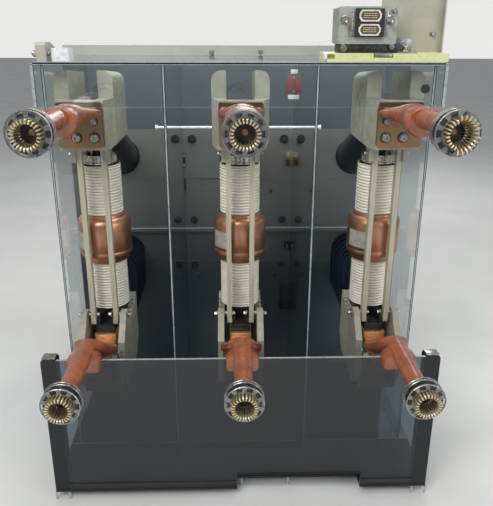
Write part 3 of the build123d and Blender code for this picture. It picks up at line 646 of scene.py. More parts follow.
class BREAKER_OT_arms(bpy.types.Operator):
    """Mould the sleeves of the disconnect arms: a clamped root that closes into a saddled tube."""

    bl_idname = "breaker.arms"
    bl_label = "Arm sleeves"

    # place along the arm, middle height above the arm's axis, half width, half height, squareness
    UPPER_SLEEVE = (
        (-172, -7.0, 46, 9.0, 4.0),
        (-176, -7.0, 50, 10.0, 4.0),
        (-190, -6.0, 50, 11.0, 4.0),
        (-204, -5.5, 47, 13.0, 3.4),
        (-225, -4.0, 39, 17.0, 3.0),
        (-244, -2.5, 34, 20.5, 2.6),
        (-262, -1.0, 31, 23.0, 2.3),
        (-280, 0.0, 25, 23.0, 2.1),
        (-291, 0.0, 20, 20.0, 2.0),
    )
    LOWER_SLEEVE = (
        (-195, -50.0, 46, 10.0, 4.0),
        (-198, -50.0, 50, 12.0, 4.0),
        (-210, -48.0, 49, 14.0, 3.6),
        (-224, -41.0, 45, 18.0, 3.2),
        (-240, -32.0, 40, 22.0, 2.8),
        (-262, -16.0, 36, 22.5, 2.5),
        (-280, -4.5, 33, 22.5, 2.3),
        (-291, 0.0, 20, 20.0, 2.0),
    )

    # half outline of a saddle, from its top down to its bottom, about the sleeve's axis
    UPPER_SADDLE = (
        *((0, 23), (12, 22), (24, 18), (33, 9), (37, -3)),
        *((35, -16), (29, -26), (19, -34), (9, -37), (0, -38)),
    )
    LOWER_SADDLE = (
        *((0, 18), (5, 14), (16, 5), (29, -2), (36, -7)),
        *((37, -14), (37, -30), (35, -36), (29, -38), (0, -37)),
    )

    # rounded lug over a fixing screw: distance from its seat, radius
    UPPER_LUG = ((0, 10), (7, 10), (11, 8), (13, 5), (14, 1.5))
    LOWER_LUG = ((0, 9), (6, 9.5), (11, 8), (14, 5), (15, 2))
    TUBE_END = ((30, 19.6), (12, 19.4), (4, 19.0), (0, 18.4))  # distance from the tip, radius

    def ring(self, centre, half_w, half_h, squareness):
        """Points of an upright ring, round at a squareness of 2 and squarer above it."""
        points = []
        for n in range(32):
            a = 2 * math.pi * n / 32
            px, pz = (math.copysign(abs(c) ** (2 / squareness), c) for c in (math.cos(a), math.sin(a)))
            points.append(Vector(centre) + Vector((px * half_w, 0, pz * half_h)))
        return points

    def sleeve(self, bm, x, z, rows, tip):
        """The sleeve from its clamped root to the round end behind the tulip."""
        rings = [self.ring((x, y, z + lift), *form) for y, lift, *form in rows]
        rings += [self.ring((x, tip + ahead, z), r, r, 2.0) for ahead, r in self.TUBE_END]
        skin(bm, rings)

    def saddle(self, bm, x, z, half_outline):
        """The moulding that wraps the sleeve in front of the sheet."""
        outline = list(half_outline) + [(-px, pz) for px, pz in reversed(half_outline[1:-1])]
        rows = []
        for y, grow in ((-303.2, 0.9), (-306, 0.99), (-322, 1.0), (-338, 0.97), (-344.8, 0.86)):
            rows.append([Vector((x + px * grow, y, z + pz * grow)) for px, pz in outline])
        skin(bm, rows)

    def execute(self, context):
        tip = box_mm("arms_centre")[0].y
        for pole, x in POLES.items():
            bm = bmesh.new()
            z = LEVELS["upper"]
            self.sleeve(bm, x, z, self.UPPER_SLEEVE, tip)
            self.saddle(bm, x, z, self.UPPER_SADDLE)
            inner = -1 if x > 0 else 1
            for reach in (8 * inner, 34 * inner) if x else (-37, 37):
                lathe(bm, (x + reach, -182, z - 4), FRONT, self.UPPER_LUG, 0, 28)
            z = LEVELS["lower"]
            self.sleeve(bm, x, z, self.LOWER_SLEEVE, tip)
            self.saddle(bm, x, z, self.LOWER_SADDLE)
            for reach in (-40, 40):
                lathe(bm, (x + reach, -196, z - 48), FRONT, self.LOWER_LUG, 0, 28)
            piece(f"sleeved_arms_{pole}", bm, ["epoxy_sleeve"], [f"arms_{pole}"], 60)
        return {"FINISHED"}


class BREAKER_OT_tulips(bpy.types.Operator):
    """Build the tulip contacts: three pressed rings with windows, sprung fingers and a centre stud."""

    bl_idname = "breaker.tulips"
    bl_label = "Tulip contacts"

    # finishes of one tulip, in the order of their slots
    COATS = ["zinc_plate", "silver_plate", "phenolic", "screw_steel", "tinned_copper"]
    RINGS, FINGERS, CUP, BRIGHT, STUD = range(5)
    # along one finger from its tip: place behind the first ring, inner and outer radius, half width
    FINGER = (
        (-17.8, 20.6, 25.2, 1.2),
        (-16.6, 19.0, 26.0, 1.4),
        (-11.0, 17.6, 26.0, 1.4),
        (-2.0, 17.5, 25.6, 1.4),
        (12.0, 17.6, 24.6, 1.4),
        (29.0, 17.6, 22.4, 1.4),
    )
    BENT_TULIP = ("right", "upper")  # its fingers are splayed by wear
    SPLAY = 4.2

    def windowed_ring(self, bm, front, outer, inner, thick):
        """A pressed ring: a rolled rim made bright with paler steel as a painted highlight, and a dark web
        cut into windows.
        """
        rim = outer - size("rim_width")
        web_inner, web_outer = inner + 1.0, rim - 0.6
        # the rim takes paler steel than the web: a painted highlight on the rolled edge
        bright = [(0.0, rim), (0.0, outer - 0.6), (0.6, outer)]
        bright += [(thick - along, radius) for along, radius in reversed(bright)]
        lathe(bm, front, Y_AXIS, bright, self.BRIGHT, 80, closed=True)
        for near, far in ((web_outer, rim), (inner, web_inner)):
            flat = [(0.8, near), (0.8, far), (thick - 0.8, far), (thick - 0.8, near)]
            lathe(bm, front, Y_AXIS, flat, self.RINGS, 80, closed=True)
        windows = bpy.context.scene.breaker_sizes.windows
        half = math.pi / windows * 0.42
        near, far = web_inner - 0.4, web_outer + 0.4
        corners = ((near, -half), (far, -half), (far, half), (near, half))
        for n in range(windows):
            a = 2 * math.pi * (n + 0.5) / windows
            rows = []
            for depth in (0.9, thick - 0.9):
                at = front + Y_AXIS * depth
                row = [at + Vector((math.cos(a + turn), 0, math.sin(a + turn))) * r for r, turn in corners]
                rows.append(row)
            skin(bm, rows, self.RINGS)

    def garter_spring(self, bm, centre):
        """A coil spring bent into a circle, drawn as a tube that swells and narrows from turn to turn."""
        rings = []
        for n in range(72):
            a = 2 * math.pi * n / 72
            spoke = Vector((math.cos(a), 0, math.sin(a)))
            r = 1.5 if n % 2 else 1.15
            angles = [math.pi * m / 3 for m in range(6)]
            at = centre + spoke * 25.4
            rings.append([at + spoke * r * math.cos(b) + Y_AXIS * r * math.sin(b) for b in angles])
        rings.append(rings[0])
        skin(bm, rings, self.BRIGHT, capped=False)

    def finger(self, bm, front, a, splay):
        """One contact finger: a plate that stands out from the bore, bent outwards by its splay."""
        spoke = Vector((math.cos(a), 0, math.sin(a)))
        across = Vector((-math.sin(a), 0, math.cos(a)))
        rows = []
        for along, r_in, r_out, half in self.FINGER:
            at = front + Y_AXIS * along + spoke * splay * max(0.0, 4.0 - along) / 12.0
            corners = ((r_in, -half), (r_out, -half), (r_out, half), (r_in, half))
            rows.append([at + spoke * r + across * aside for r, aside in corners])
        skin(bm, rows, self.FINGERS)

    def tulip(self, bm, front, outer, splay):
        """A tulip contact, whose first ring has its front at a point."""
        for back in (0.0, 17.0, 25.0):
            self.windowed_ring(bm, front + Y_AXIS * back, outer, 27.2, 4.0)
        # black cup between the rings, and the socket on the sleeve behind them
        cup = ((3, 27), (3, 33.4), (28, 33.4), (28, 27))
        lathe(bm, front, Y_AXIS, cup, self.CUP, 64, closed=True)
        socket = ((29, 18), (29, 22.5), (36, 22.5), (36, 18))
        lathe(bm, front, Y_AXIS, socket, self.CUP, 64, closed=True)
        for back in (3.0, 22.0):
            self.garter_spring(bm, front + Y_AXIS * back)
        fingers = bpy.context.scene.breaker_sizes.fingers
        for n in range(fingers):
            a = 2 * math.pi * (n + 0.5) / fingers
            uneven = 0.35 + 0.65 * abs(math.sin(2.7 * n))
            self.finger(bm, front, a, splay * uneven if math.cos(a) > -0.3 else 0.0)
        # black seat at the bottom of the bore, painted shade in the deep bore, with the end of its stud
        lathe(bm, front + Y_AXIS * 26, Y_AXIS, ((0, 17.4), (2, 17.4), (9.5, 17.4)), self.CUP, 40)
        lathe(bm, front + Y_AXIS * 20, Y_AXIS, ((0, 3.5), (1, 5.5), (6.5, 5.5)), self.STUD, 28)

    def execute(self, context):
        for pole, x in POLES.items():
            low, high = box_mm(f"tulips_{pole}")
            for level, z in LEVELS.items():
                bm = bmesh.new()
                splay = self.SPLAY if (pole, level) == self.BENT_TULIP else 0.0
                self.tulip(bm, Vector((x, low.y + 18.0, z)), (high.x - low.x) / 2, splay)
                stands_for = [f"tulips_{pole}"] if level == "upper" else []
                piece(f"tulip_{level}_{pole}", bm, self.COATS, stands_for, 40)
        return {"FINISHED"}


class BREAKER_OT_terminals(bpy.types.Operator):
    """Add the screws of the terminal plates, the end caps over the ceramics and the copper below them."""

    bl_idname = "breaker.terminals"
    bl_label = "Terminals"

    def execute(self, context):
        plate = box_mm("terminal_plates")[0]
        for pole, x in POLES.items():
            bm = bmesh.new()
            face = plate.y
            inner = -1 if x > 0 else 1
            low_screws = (-9 * inner, 30 * inner) if x else (-19, 19)
            for dx in low_screws:
                bolt(bm, (x + dx, face, plate.z + 22), FRONT, 15, 7, 0, 0.9, 1, socket=True)
            if x:
                bolt(bm, (x + 30 * inner, face, plate.z + 57), FRONT, 12, 6, 0, 0.9, 1, socket=True)
            piece(f"plate_screws_{pole}", bm, ["screw_steel", "black_screw"])

            # nickel end cap with its ring of studs, and the stem and pillars that run up into the head; the
            # stem is black, painted shade in the gaps between the pillars
            bm = bmesh.new()
            top = box_mm(f"head_{pole}")[0].z + 40
            base = box_mm(f"ceramics_{pole}")[1].z
            flange = ((0, 30), (0, 42), (3, 43), (6, 43), (7, 40.5))
            cap = ((19, 40.5), (20, 42.5), (24, 42.5), (24, 30))
            lathe(bm, (x, 0, base), Z_AXIS, flange + cap, 0, 64, closed=True)
            for n in range(20):
                a = 2 * math.pi * n / 20
                at = Vector((x + 40.2 * math.cos(a), 40.2 * math.sin(a), base + 7))
                lathe(bm, at, Z_AXIS, ((0, 2.6), (12, 2.6)), 0, 8)
            cap_top = base + 24
            # stem in black phenolic: painted shade behind the pillars
            lathe(bm, (x, 0, cap_top), Z_AXIS, ((0, 24), (top - cap_top, 24)), 1, 32)
            for n in range(8):
                a = 2 * math.pi * (n + 0.5) / 8
                at = Vector((x + 30 * math.cos(a), 30 * math.sin(a), cap_top))
                lathe(bm, at, Z_AXIS, ((0, 3.4), (top - cap_top, 3.4)), 2, 12)
            finishes = ["nickel_plate", "phenolic", "tinned_copper"]
            piece(f"vacuum_end_{pole}", bm, finishes, smooth_angle=40)
        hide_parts("end_rings")

        # the lower copper, a pack of thin leaves under the coupling that runs out into a palm
        bm = bmesh.new()
        low, high = box_mm("terminal_bars")
        half = high.x - POLES["right"]
        palm_y = -98  # where the leaves end and the palm starts
        seat = low.z + 30.2  # top of the silvered pad in front of the coupling
        for x in POLES.values():
            for n in range(context.scene.breaker_sizes.leaves):
                inset = 1.3 * (n % 2)
                z = low.z + 2 + n * 4
                block(bm, (x - half + inset, palm_y + inset, z), (x + half - inset, high.y, z + 3.5), 0, 0.5)
            block(bm, (x - half, palm_y - 0.3, seat - 3), (x + half, palm_y + 4, seat), 1, 0.8)
            block(bm, (x - half, low.y - 1, low.z), (x + half, palm_y, low.z + 18), 0, 1.2)
            block(bm, (x - half, low.y + 0.5, low.z), (x + half, low.y + 11, high.z), 0, 1.2)
        piece("leaf_bars", bm, ["bare_copper", "silver_plate"], ["terminal_bars"])

        # black yoke that stands on the copper in front of each coupling
        bm = bmesh.new()
        for x in POLES.values():
            block(bm, (x - 25, -86, seat), (x + 25, -30, high.z), 0, 2)
            for side in SIDES:
                block(bm, (x + side * 14, -84, high.z), (x + side * 20, -40, high.z + 18), 0, 1.5)
        piece("coupling_yokes", bm, ["black_screw"])
        return {"FINISHED"}


class BREAKER_OT_pole_fixings(bpy.types.Operator):
    """Add the screws, spacers and end blocks of the struts, and the supports' varnish and ribs."""

    bl_idname = "breaker.pole_fixings"
    bl_label = "Pole fixings"

    def execute(self, context):
        for pole, x in POLES.items():
            strut_low, strut_high = box_mm(f"struts_{pole}")
            head_low = box_mm(f"head_{pole}")[0]
            support_low, support_high = box_mm(f"support_{pole}")
            mid_y = (strut_low.y + strut_high.y) / 2
            screw_z = support_high.z - 14
            foot, face = support_low.z, support_low.y
            bm = bmesh.new()
            for side in SIDES:
                lug = x + side * 45.5  # outer face of the head's lug
                bolt(bm, (lug, mid_y, head_low.z + 18), (side, 0, 0), 8, 5)
                cheek = x + side * (support_high.x - support_low.x) / 2
                bolt(bm, (cheek, mid_y + 2, screw_z), (side, 0, 0), 10, 6)
                # spacer sleeve and screw end between strut and cheek
                inner = x + side * (strut_high.x - strut_low.x) / 2
                lathe(bm, (inner, mid_y + 2, screw_z), (side, 0, 0), ((0, 6), (7.5, 6)), 0, 20)
            piece(f"strut_screws_{pole}", bm, ["screw_steel"])

            # pale end blocks in front of the struts' feet, and the screws between the struts
            bm = bmesh.new()
            for side in SIDES:
                outer = x + side * (strut_high.x - strut_low.x) / 2
                near, far = strut_low.y - 1.6, strut_low.y
                block(bm, (outer, near, strut_low.z - 3), (outer - side * 13, far, strut_low.z + 9), 0, 0.6)
            piece(f"strut_ends_{pole}", bm, ["beige_enamel"])
            bm = bmesh.new()
            for dx, side in ((-20, 1), (14, -1)):
                bolt(bm, (x + dx - side * 3, mid_y + 2, screw_z + 1), (side, 0, 0), 9, 5)
            piece(f"yoke_screws_{pole}", bm, ["screw_steel"])

            bm = bmesh.new()
            for dx in (-26, 26):
                for z in (foot + 36, foot + 70):
                    bolt(bm, (x + dx, face, z), FRONT, 13, 7, washer=0.9)
            piece(f"support_screws_{pole}", bm, ["black_screw"])

            # varnish on the front plate, with the notch the palm passes through
            bm = bmesh.new()
            right = ((45, foot + 1), (45, foot + 106), (41.5, foot + 106), (41.5, foot + 91))
            outline = right + tuple((-dx, z) for dx, z in reversed(right))
            prism(bm, [(x + dx, face, z) for dx, z in outline], FRONT * 1.2, 0, 0.4)
            piece(f"plate_varnish_{pole}", bm, ["red_varnish"])

            # stepped ribs on the cheeks' tops
            bm = bmesh.new()
            cheek_z = foot + 152
            for side in SIDES:
                outer = x + side * (support_high.x - support_low.x) / 2
                for n in range(4):
                    y = 48 - n * 20
                    top = cheek_z + 12 - n * 2.4
                    block(bm, (outer - side * 9, y - 7, cheek_z), (outer, y + 7, top), 0, 2.5)
            piece(f"moulded_steps_{pole}", bm, ["polyester_moulding"])
        return {"FINISHED"}


class BREAKER_OT_sheet_edges(bpy.types.Operator):
    """Lay pale strips on the sawn edges and corner joints of the clear sheets, painted highlights of their
    lit edges, and the nuts on their rod.
    """

    bl_idname = "breaker.sheet_edges"
    bl_label = "Sheet edges"

    def execute(self, context):
        lift = size("edge_lift")
        half = size("edge_width") / 2
        # the glued joint's pale line is a painted highlight
        line = 1.4  # bright line of a glued joint
        barrier = box_mm("interphase_barriers")
        sheet = box_mm("side_sheets")
        front = box_mm("hood_front")
        top = box_mm("hood_top")
        bm = bmesh.new()
        # front edges of the barriers and side sheets, painted highlights
        for (low, high), end in ((barrier, barrier[1].z), (sheet, sheet[1].z - 4)):
            for side in SIDES:
                x = side * (high.x - SHEET_T / 2)
                block(bm, (x - half, low.y - lift, low.z), (x + half, low.y, end))

        # the hood: painted highlights on its two long edges, the joint with its top, and its four corners
        low, high = front
        for z in (low.z - lift, high.z):
            block(bm, (low.x, low.y, z), (high.x, high.y, z + lift))
        for z in (top[0].z, top[1].z - line):
            block(bm, (low.x, low.y - lift, z), (high.x, low.y, z + line))
        for side in SIDES:
            inside, outside = side * (high.x - SHEET_T), side * high.x
            block(bm, (inside, low.y - lift, low.z), (outside, low.y, high.z))
            block(bm, (outside, low.y, low.z), (outside + side * lift, high.y, high.z))
            block(bm, (inside, high.y, low.z - lift), (outside, sheet[0].y, low.z))
            block(bm, (outside, top[0].y, top[0].z), (outside + side * lift, top[1].y, top[1].z))

        low, high = box_mm("front_sheet")
        block(bm, (low.x, low.y, high.z), (high.x, high.y, high.z + lift))

        # the floor sheet's front edge shows between the barriers, as a painted highlight
        low, high = box_mm("floor_sheet")
        near = barrier[1].x - SHEET_T - 1
        far = barrier[1].x + 1
        for start, end in ((low.x, -far), (-near, near), (far, high.x)):
            block(bm, (start, sheet[0].y - lift, low.z + 0.2), (end, sheet[0].y, high.z))
        piece("sawn_edges", bm, ["sheet_edge"])

        bm = bmesh.new()
        low, high = box_mm("spacer_rod")
        for end, away in ((low.x, 1), (high.x, -1)):
            at = Vector((end, (low.y + high.y) / 2, (low.z + high.z) / 2))
            axis = X_AXIS * away
            lathe(bm, at, axis, ((0, 8), (1.2, 8), (1.2, 4.2)), 0, 24)
            skin(bm, [ring_points(at + axis * along, axis, 7.2, 6) for along in (1.2, 7.0)])
        piece("rod_nuts", bm, ["natural_nylon"])

        # countersunk screws along the front and the back of the hood's top
        bm = bmesh.new()
        for x in (-400, -240, -90, 90, 240):
            for y in (top[0].y + 32, top[1].y - 33):
                lathe(bm, (x, y, top[1].z), Z_AXIS, ((0, 5), (0.5, 5), (0.5, 2.2), (0.1, 1.8)), 0, 20)
        piece("hood_screws", bm, ["screw_steel"])
        return {"FINISHED"}


class BREAKER_OT_wall_fittings(bpy.types.Operator):
    """Fix the screws, brackets, catches and blank plates to the wall, and the plug to the hood."""

    bl_idname = "breaker.wall_fittings"
    bl_label = "Wall fittings"

    def execute(self, context):
        wall = box_mm("wall_panel")[0].y
        panel = wall - LEDGE_T  # face of the ledges' own sheet

        bm = bmesh.new()
        top_row, middle_row, bottom_row = 785, 535, 388
        for x in (-195, -137, 137, 195):
            bolt(bm, (x, panel, top_row), FRONT, 15, 7)
            bolt(bm, (x, wall, middle_row), FRONT, 13, 6)
            bolt(bm, (x, panel, bottom_row), FRONT, 13, 6)
        sunk = ((0, 5.5), (0.8, 5.5), (0.8, 3.6), (0.2, 3.0))
        for x, z in ((-126, 345), (117, 347), (100, 626), (224, 632)):
            lathe(bm, (x, wall, z), FRONT, sunk, 0, 20)
        piece("wall_screws", bm, ["black_screw"])

        bm = bmesh.new()
        for x, z in ((-74, 1030), (64, 1032)):
            bolt(bm, (x, wall, z), FRONT, 8, 4)
        piece("strip_screws", bm, ["screw_steel"])

        # small bracket right of the centre pole: two tabs, two screws over dark nuts, a strip between
        bm = bmesh.new()
        left, low = 141, 706
        face = panel - 2
        block(bm, (left, face, low), (left + 52, panel, low + 42), 0, 1)
        for x in (left + 2, left + 33):
            block(bm, (x, face - 12, low + 22), (x + 17, face, low + 26), 0, 0.6)
        for x in (left + 10, left + 42):
            bolt(bm, (x, face, low + 32), FRONT, 9, 5, 1)
            block(bm, (x - 5, face - 7, low + 2), (x + 5, face, low + 16), 2, 1)
        block(bm, (left + 22, face - 4, low + 2), (left + 30, face, low + 40), 3, 0.8)
        finishes = ["tinned_copper", "screw_steel", "black_screw", "glass_epoxy"]
        piece("twin_bracket", bm, finishes)

        # narrow catch left of the centre pole, and the bar below it
        bm = bmesh.new()
        left, low = -172, 700
        block(bm, (left, panel - 3, low), (left + 14, panel, low + 45), 0, 1)
        for z in (low + 37, low + 8):
            bolt(bm, (left + 7, panel - 3, z), FRONT, 7, 4, 1)
        block(bm, (left + 2, wall - 8, low - 72), (left + 12, wall, low - 32), 0, 1)
        piece("narrow_catch", bm, ["black_screw", "screw_steel"])

        # dark spring clip under the middle ledge, with its fork
        bm = bmesh.new()
        left, low, face = 146, 438, wall - 5
        block(bm, (left, face, low), (left + 42, wall, low + 26), 0, 1.5)
        block(bm, (left, face - 7, low + 22), (left + 42, face, low + 26), 0, 0.6)
        for x in (left + 5, left + 32):
            block(bm, (x, face - 4, low + 2), (x + 5, face, low + 18), 1, 0.5)
        piece("spring_clip", bm, ["black_screw", "zinc_plate"])

        # black plate low on the wall, with a raised arch and two bars on its face
        bm = bmesh.new()
        left, low, face = 134, 227, wall - 4
        block(bm, (left, face, low), (left + 53, wall, low + 92), 0, 2.5)
        arch = ((7, 81), (46, 81), (46, 11), (40, 11), (40, 75), (13, 75), (13, 11), (7, 11))
        prism(bm, [(left + dx, face, low + dz) for dx, dz in arch], FRONT * 1.6, 0, 0.5)
        for z in (low + 35, low + 53):
            block(bm, (left + 20, face - 1.4, z), (left + 33, face, z + 5), 0, 0.6)
        piece("slotted_plate", bm, ["phenolic"])

        # blank plate near the top of the wall, held by two studs, with a blank label above and below
        bm = bmesh.new()
        left, low, face = 139, 917, wall - 1.6
        block(bm, (left, face, low), (left + 45, wall, low + 50), 0, 0.5)
        for z in (low + 5, low + 45):
            bolt(bm, (left + 22, face, z), FRONT, 4, 2, 1, 0.8)
        block(bm, (left + 13, face, low + 55), (left + 33, wall, low + 67), 2, 0.5)
        block(bm, (left + 7, face, low - 16), (left + 37, wall, low - 4), 2, 0.5)
        piece("blank_plate", bm, ["blank_plate_enamel", "screw_steel", "blank_label"])

        # painted highlight: a light line of enamel along the front of the middle ledge, between the
        # barriers, where light catches its edge
        bm = bmesh.new()
        low, high = box_mm("wall_ledges")
        far = box_mm("interphase_barriers")[1].x
        near = far - SHEET_T
        for start, end in ((low.x, -far), (-near, near), (far, high.x)):
            block(bm, (start, low.y - 1, 511.5), (end, low.y, 514.5), 0, 0.3)
        piece("ledge_lips", bm, ["pale_enamel"])

        # black plug in the hood's front, on the right
        bm = bmesh.new()
        low, high = box_mm("hood_front")
        dished = ((0, 10), (3, 10), (4, 9), (4, 6), (1.5, 5.5))
        lathe(bm, (high.x - 46, low.y, low.z + 39), FRONT, dished, 0, 40)
        piece("hood_plug", bm, ["phenolic"])
        return {"FINISHED"}


class BREAKER_OT_insulator_feet(bpy.types.Operator):
    """Ring the upper insulators where they meet the wall."""

    bl_idname = "breaker.insulator_feet"
    bl_label = "Insulator feet"

    def execute(self, context):
        wall = box_mm("wall_panel")[0].y
        bm = bmesh.new()
        for x in POLES.values():
            collar = ((0, 50), (0, 55.5), (5, 55.5), (8, 53.5), (11, 50))
            lathe(bm, (x, wall, 735), FRONT, collar, 0, 64)
        piece("insulator_collars", bm, ["cast_resin"])
        return {"FINISHED"}


class BREAKER_OT_base_details(bpy.types.Operator):
    """Cap the posts, and add the lip, the screws and the runners' edges of the pan."""

    bl_idname = "breaker.base_details"
    bl_label = "Base details"

    def execute(self, context):
        pan = box_mm("base_pan")
        low, high = box_mm("posts")
        post_w = 35
        bm = bmesh.new()
        for side in SIDES:
            x = side * (high.x - post_w / 2)
            block(bm, (x - 15, low.y + 2, high.z - 1), (x + 15, low.y + 28, high.z + 1.5), 0, 1)
        piece("post_caps", bm, ["nickel_plate"])

        # front lip of the pan, and the bead above it that steps up over the notch
        bm = bmesh.new()
        front = pan[0].y
        notch = (-12, 291)
        reach, bead_reach = high.x, box_mm("front_sheet")[1].x
        far, near = front - 1.5, front - 0.2
        for start, end in ((-reach, notch[0]), (notch[1], reach)):
            block(bm, (start, front - 1.2, pan[0].z), (end, front, pan[1].z), 0, 0.4)
        bead_z, notch_z = pan[0].z + 22, pan[0].z + 42
        for start, end in ((-bead_reach, notch[0]), (notch[1], bead_reach)):
            block(bm, (start, far, bead_z), (end, near, bead_z + 3), 0, 0.4)
        block(bm, (notch[0], far, notch_z), (notch[1], near, notch_z + 3), 0, 0.4)
        piece("pan_lip", bm, ["powder_coat"])

        # painted highlights on the sawn edges of the runners; the two inner ones stand back
        bm = bmesh.new()
        lift = size("edge_lift")
        runners = [(x, front) for x in (-455, -423, 423, 455)] + [(x, front + 38) for x in (0, 117)]
        for x, y in runners:
            block(bm, (x - 2, y - lift, 0), (x + 2, y, pan[0].z))
        piece("runner_edges", bm, ["sheet_edge"])

        bm = bmesh.new()
        for side in SIDES:
            for y in (-80, 60, 200):
                at = (side * 447, y, box_mm("floor_sheet")[1].z)
                lathe(bm, at, Z_AXIS, ((0, 6), (3, 6), (4, 4)), 0, 20)
        piece("pan_screws", bm, ["black_screw"])
        return {"FINISHED"}


class BREAKER_OT_plug(bpy.types.Operator):
    """Build the two multi-pin modules of the plug, its screws and foot, and the plates beside it."""

    bl_idname = "breaker.plug"
    bl_label = "Control plug"

    def execute(self, context):
        low, high = box_mm("plug_insert")
        box_low, box_high = box_mm("plug_box")
        deck = box_mm("glass_fibre_plate")[1].z  # what the plug stands on
        mid_x = (low.x + high.x) / 2
        face = low.y

        # two modules: a pale rim that stands out, a brown floor, and nine pins in each of three rows
        bm = bmesh.new()
        half_w = (high.x - low.x) / 2 - 7
        half_h = 11.5
        for z in (low.z + 14.5, high.z - 14.5):
            outer = rounded_bar(mid_x, face, z, half_w, half_h)
            inner = rounded_bar(mid_x, face, z, half_w - 3, half_h - 3)
            raised = [point + FRONT * 6 for point in outer]
            rim = [point + FRONT * 6 for point in inner]
            sunk = [point + FRONT * 3 for point in inner]
            skin(bm, [outer, raised, rim, sunk], capped=False)
            bm.faces.new([bm.verts.new(point) for point in sunk]).material_index = 1
            for row in (-4, 0, 4):
                for n in range(9):
                    x = mid_x + (n - 4) * (half_w - 8) / 4.6
                    lathe(bm, (x, face - 3, z + row), FRONT, ((0, 1.2), (2.6, 1.2), (3.0, 0.7)), 2, 8)
        piece("pin_modules", bm, ["blank_label", "brown_phenolic", "silver_plate"])

        # metal strips beside the modules, the pegs' collars and the plug's screws
        bm = bmesh.new()
        for x in (low.x - 11, high.x + 3):
            block(bm, (x, box_low.y - 3, low.z + 2), (x + 8, box_low.y, high.z - 4), 0, 0.8)
        for x in (low.x - 22, high.x + 14):
            z = (low.z + high.z) / 2 + 6
            lathe(bm, (x, box_low.y, z), FRONT, ((0, 9), (3, 9), (4.5, 7.5), (4.5, 5)), 0, 24)
        right = box_high.x - 9
        for x, z in ((box_low.x + 12, deck + 12), (right, box_high.z - 9), (right, deck + 13)):
            bolt(bm, (x, box_low.y, z), FRONT, 7, 4)
        bolt(bm, (box_low.x + 14, box_low.y + 4, deck + 9), FRONT, 8, 4)
        piece("plug_metalwork", bm, ["screw_steel"])

        bm = bmesh.new()
        foot = (box_low.x + 6, box_low.y + 4, deck)
        block(bm, foot, (box_high.x + 4, box_high.y - 4, deck + 18), 0, 2)
        piece("plug_foot", bm, ["black_screw"])

        # angle bracket in front of the tall plate, right of the plug
        bm = bmesh.new()
        left, back = box_high.x + 2, box_low.y + 30
        block(bm, (left, back - 48, deck), (left + 40, back, deck + 3), 0, 1)
        block(bm, (left, back - 4, deck + 3), (left + 40, back, deck + 31), 0, 1)
        bolt(bm, (left + 20, back - 26, deck + 3), Z_AXIS, 12, 7, 1)
        bolt(bm, (left + 20, back - 4, deck + 17), FRONT, 8, 4, 1)
        piece("plate_bracket", bm, ["zinc_plate", "screw_steel"])

        # flange down the tall plate's outer edge, and its two screws
        bm = bmesh.new()
        low, high = box_mm("tall_plate")
        block(bm, (high.x - 3, low.y - 14, low.z), (high.x, low.y, high.z - 18), 0, 0.8)
        for z in (1080, 1190):
            bolt(bm, (high.x - 22, low.y, z), FRONT, 8, 4, 1)
        piece("tall_plate_flange", bm, ["beige_enamel", "screw_steel"])

        # white block on the end of the glass fibre plate, and the grey key under the plug
        low = box_mm("glass_fibre_plate")[0]
        bm = bmesh.new()
        block(bm, (low.x - 6, low.y, deck - 13), (low.x + 18, low.y + 22, deck), 0, 2)
        piece("plate_end_block", bm, ["natural_nylon"])
        bm = bmesh.new()
        block(bm, (283, low.y + 1, deck - 8.6), (321, low.y + 22, deck - 0.4), 0, 1)
        piece("plate_key", bm, ["zinc_plate"])
        return {"FINISHED"}


class BREAKER_OT_top_fittings(bpy.types.Operator):
    """Add the latch lug's pin and its washers."""

    bl_idname = "breaker.top_fittings"
    bl_label = "Top fittings"

    def execute(self, context):
        low, high = box_mm("latch_lug")
        washered_end = ((0, 7.4), (1.5, 7.4), (1.5, 4.8), (4, 4.8), (5, 4))
        bm = bmesh.new()
        for x, away in ((high.x, X_AXIS), (low.x, -X_AXIS)):
            lathe(bm, (x, low.y + 14, low.z + 16), away, washered_end, 0, 32)
        piece("latch_pin", bm, ["screw_steel"])
        return {"FINISHED"}


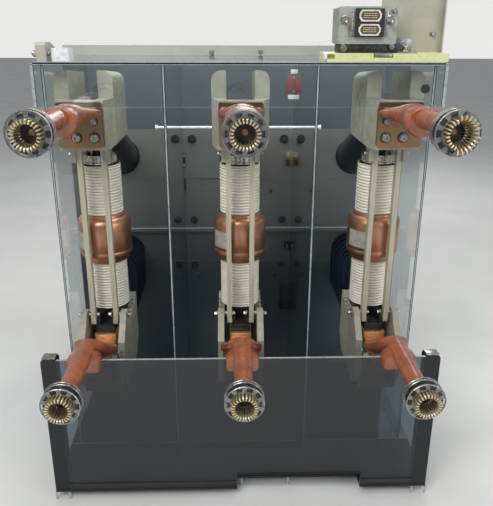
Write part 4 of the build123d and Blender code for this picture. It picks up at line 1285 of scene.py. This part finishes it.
class BREAKER_OT_housing_details(bpy.types.Operator):
    """Finish the closed housing: the cover's screws, the louvres in its sides and the straps on top."""

    bl_idname = "breaker.housing_details"
    bl_label = "Housing details"

    def execute(self, context):
        low, high = box_mm("operator_cover")
        bm = bmesh.new()
        for z in (low.z + 16, (low.z + high.z) / 2, high.z - 16):
            for x in (low.x + 16, -150, 150, high.x - 16):
                flush = ((0, 6), (0.6, 5.6), (0.6, 2.4), (0.2, 2))
                lathe(bm, (x, high.y - 0.6, z), Y_AXIS, flush, 0, 20)
        piece("cover_screws", bm, ["screw_steel"])

        wall_x, roof = box_mm("housing")[1].x, box_mm("housing")[1].z
        bm = bmesh.new()
        for side in SIDES:
            for n in range(9):
                x, z = side * wall_x, 640 + n * 22
                block(bm, (x, 420, z), (x + side * 2.2, 560, z + 8), 0, 1.0)
        piece("side_louvres", bm, ["pale_enamel"])

        bm = bmesh.new()
        for x in (-300, 300):
            block(bm, (x - 40, 560, roof), (x + 40, 572, roof + 3), 0, 1)
            for reach in (-30, 30):
                bolt(bm, (x + reach, 566, roof + 3), Z_AXIS, 9, 4, 1)
        piece("top_straps", bm, ["zinc_plate", "screw_steel"])
        return {"FINISHED"}


class BREAKER_PT_panel(bpy.types.Panel):
    """Lists the truck's pieces and its colours."""

    bl_idname = "BREAKER_PT_panel"
    bl_label = "Vacuum breaker truck"
    bl_space_type = "VIEW_3D"
    bl_region_type = "UI"
    bl_category = "Breaker"

    def draw(self, context):
        for maker in OPERATORS:
            self.layout.operator(maker.bl_idname)
        for key in BreakerSizes.__annotations__:
            self.layout.prop(context.scene.breaker_sizes, key)
        for key in BreakerFinishes.__annotations__:
            self.layout.prop(context.scene.breaker_finishes, key)


OPERATORS = (
    BREAKER_OT_stage,
    BREAKER_OT_finishes,
    BREAKER_OT_interrupters,
    BREAKER_OT_arms,
    BREAKER_OT_tulips,
    BREAKER_OT_terminals,
    BREAKER_OT_pole_fixings,
    BREAKER_OT_sheet_edges,
    BREAKER_OT_wall_fittings,
    BREAKER_OT_insulator_feet,
    BREAKER_OT_base_details,
    BREAKER_OT_plug,
    BREAKER_OT_top_fittings,
    BREAKER_OT_housing_details,
)
CLASSES = (BreakerSizes, BreakerFinishes, *OPERATORS, BREAKER_PT_panel)


def register():
    for cls in CLASSES:
        bpy.utils.register_class(cls)
    bpy.types.Scene.breaker_sizes = bpy.props.PointerProperty(type=BreakerSizes)
    bpy.types.Scene.breaker_finishes = bpy.props.PointerProperty(type=BreakerFinishes)


def unregister():
    del bpy.types.Scene.breaker_finishes
    del bpy.types.Scene.breaker_sizes
    for cls in reversed(CLASSES):
        bpy.utils.unregister_class(cls)


def main():
    """Build everything in order."""
    register()
    for maker in OPERATORS:
        getattr(bpy.ops.breaker, maker.bl_idname.split(".")[1])()


if __name__ == "__main__":
    main()
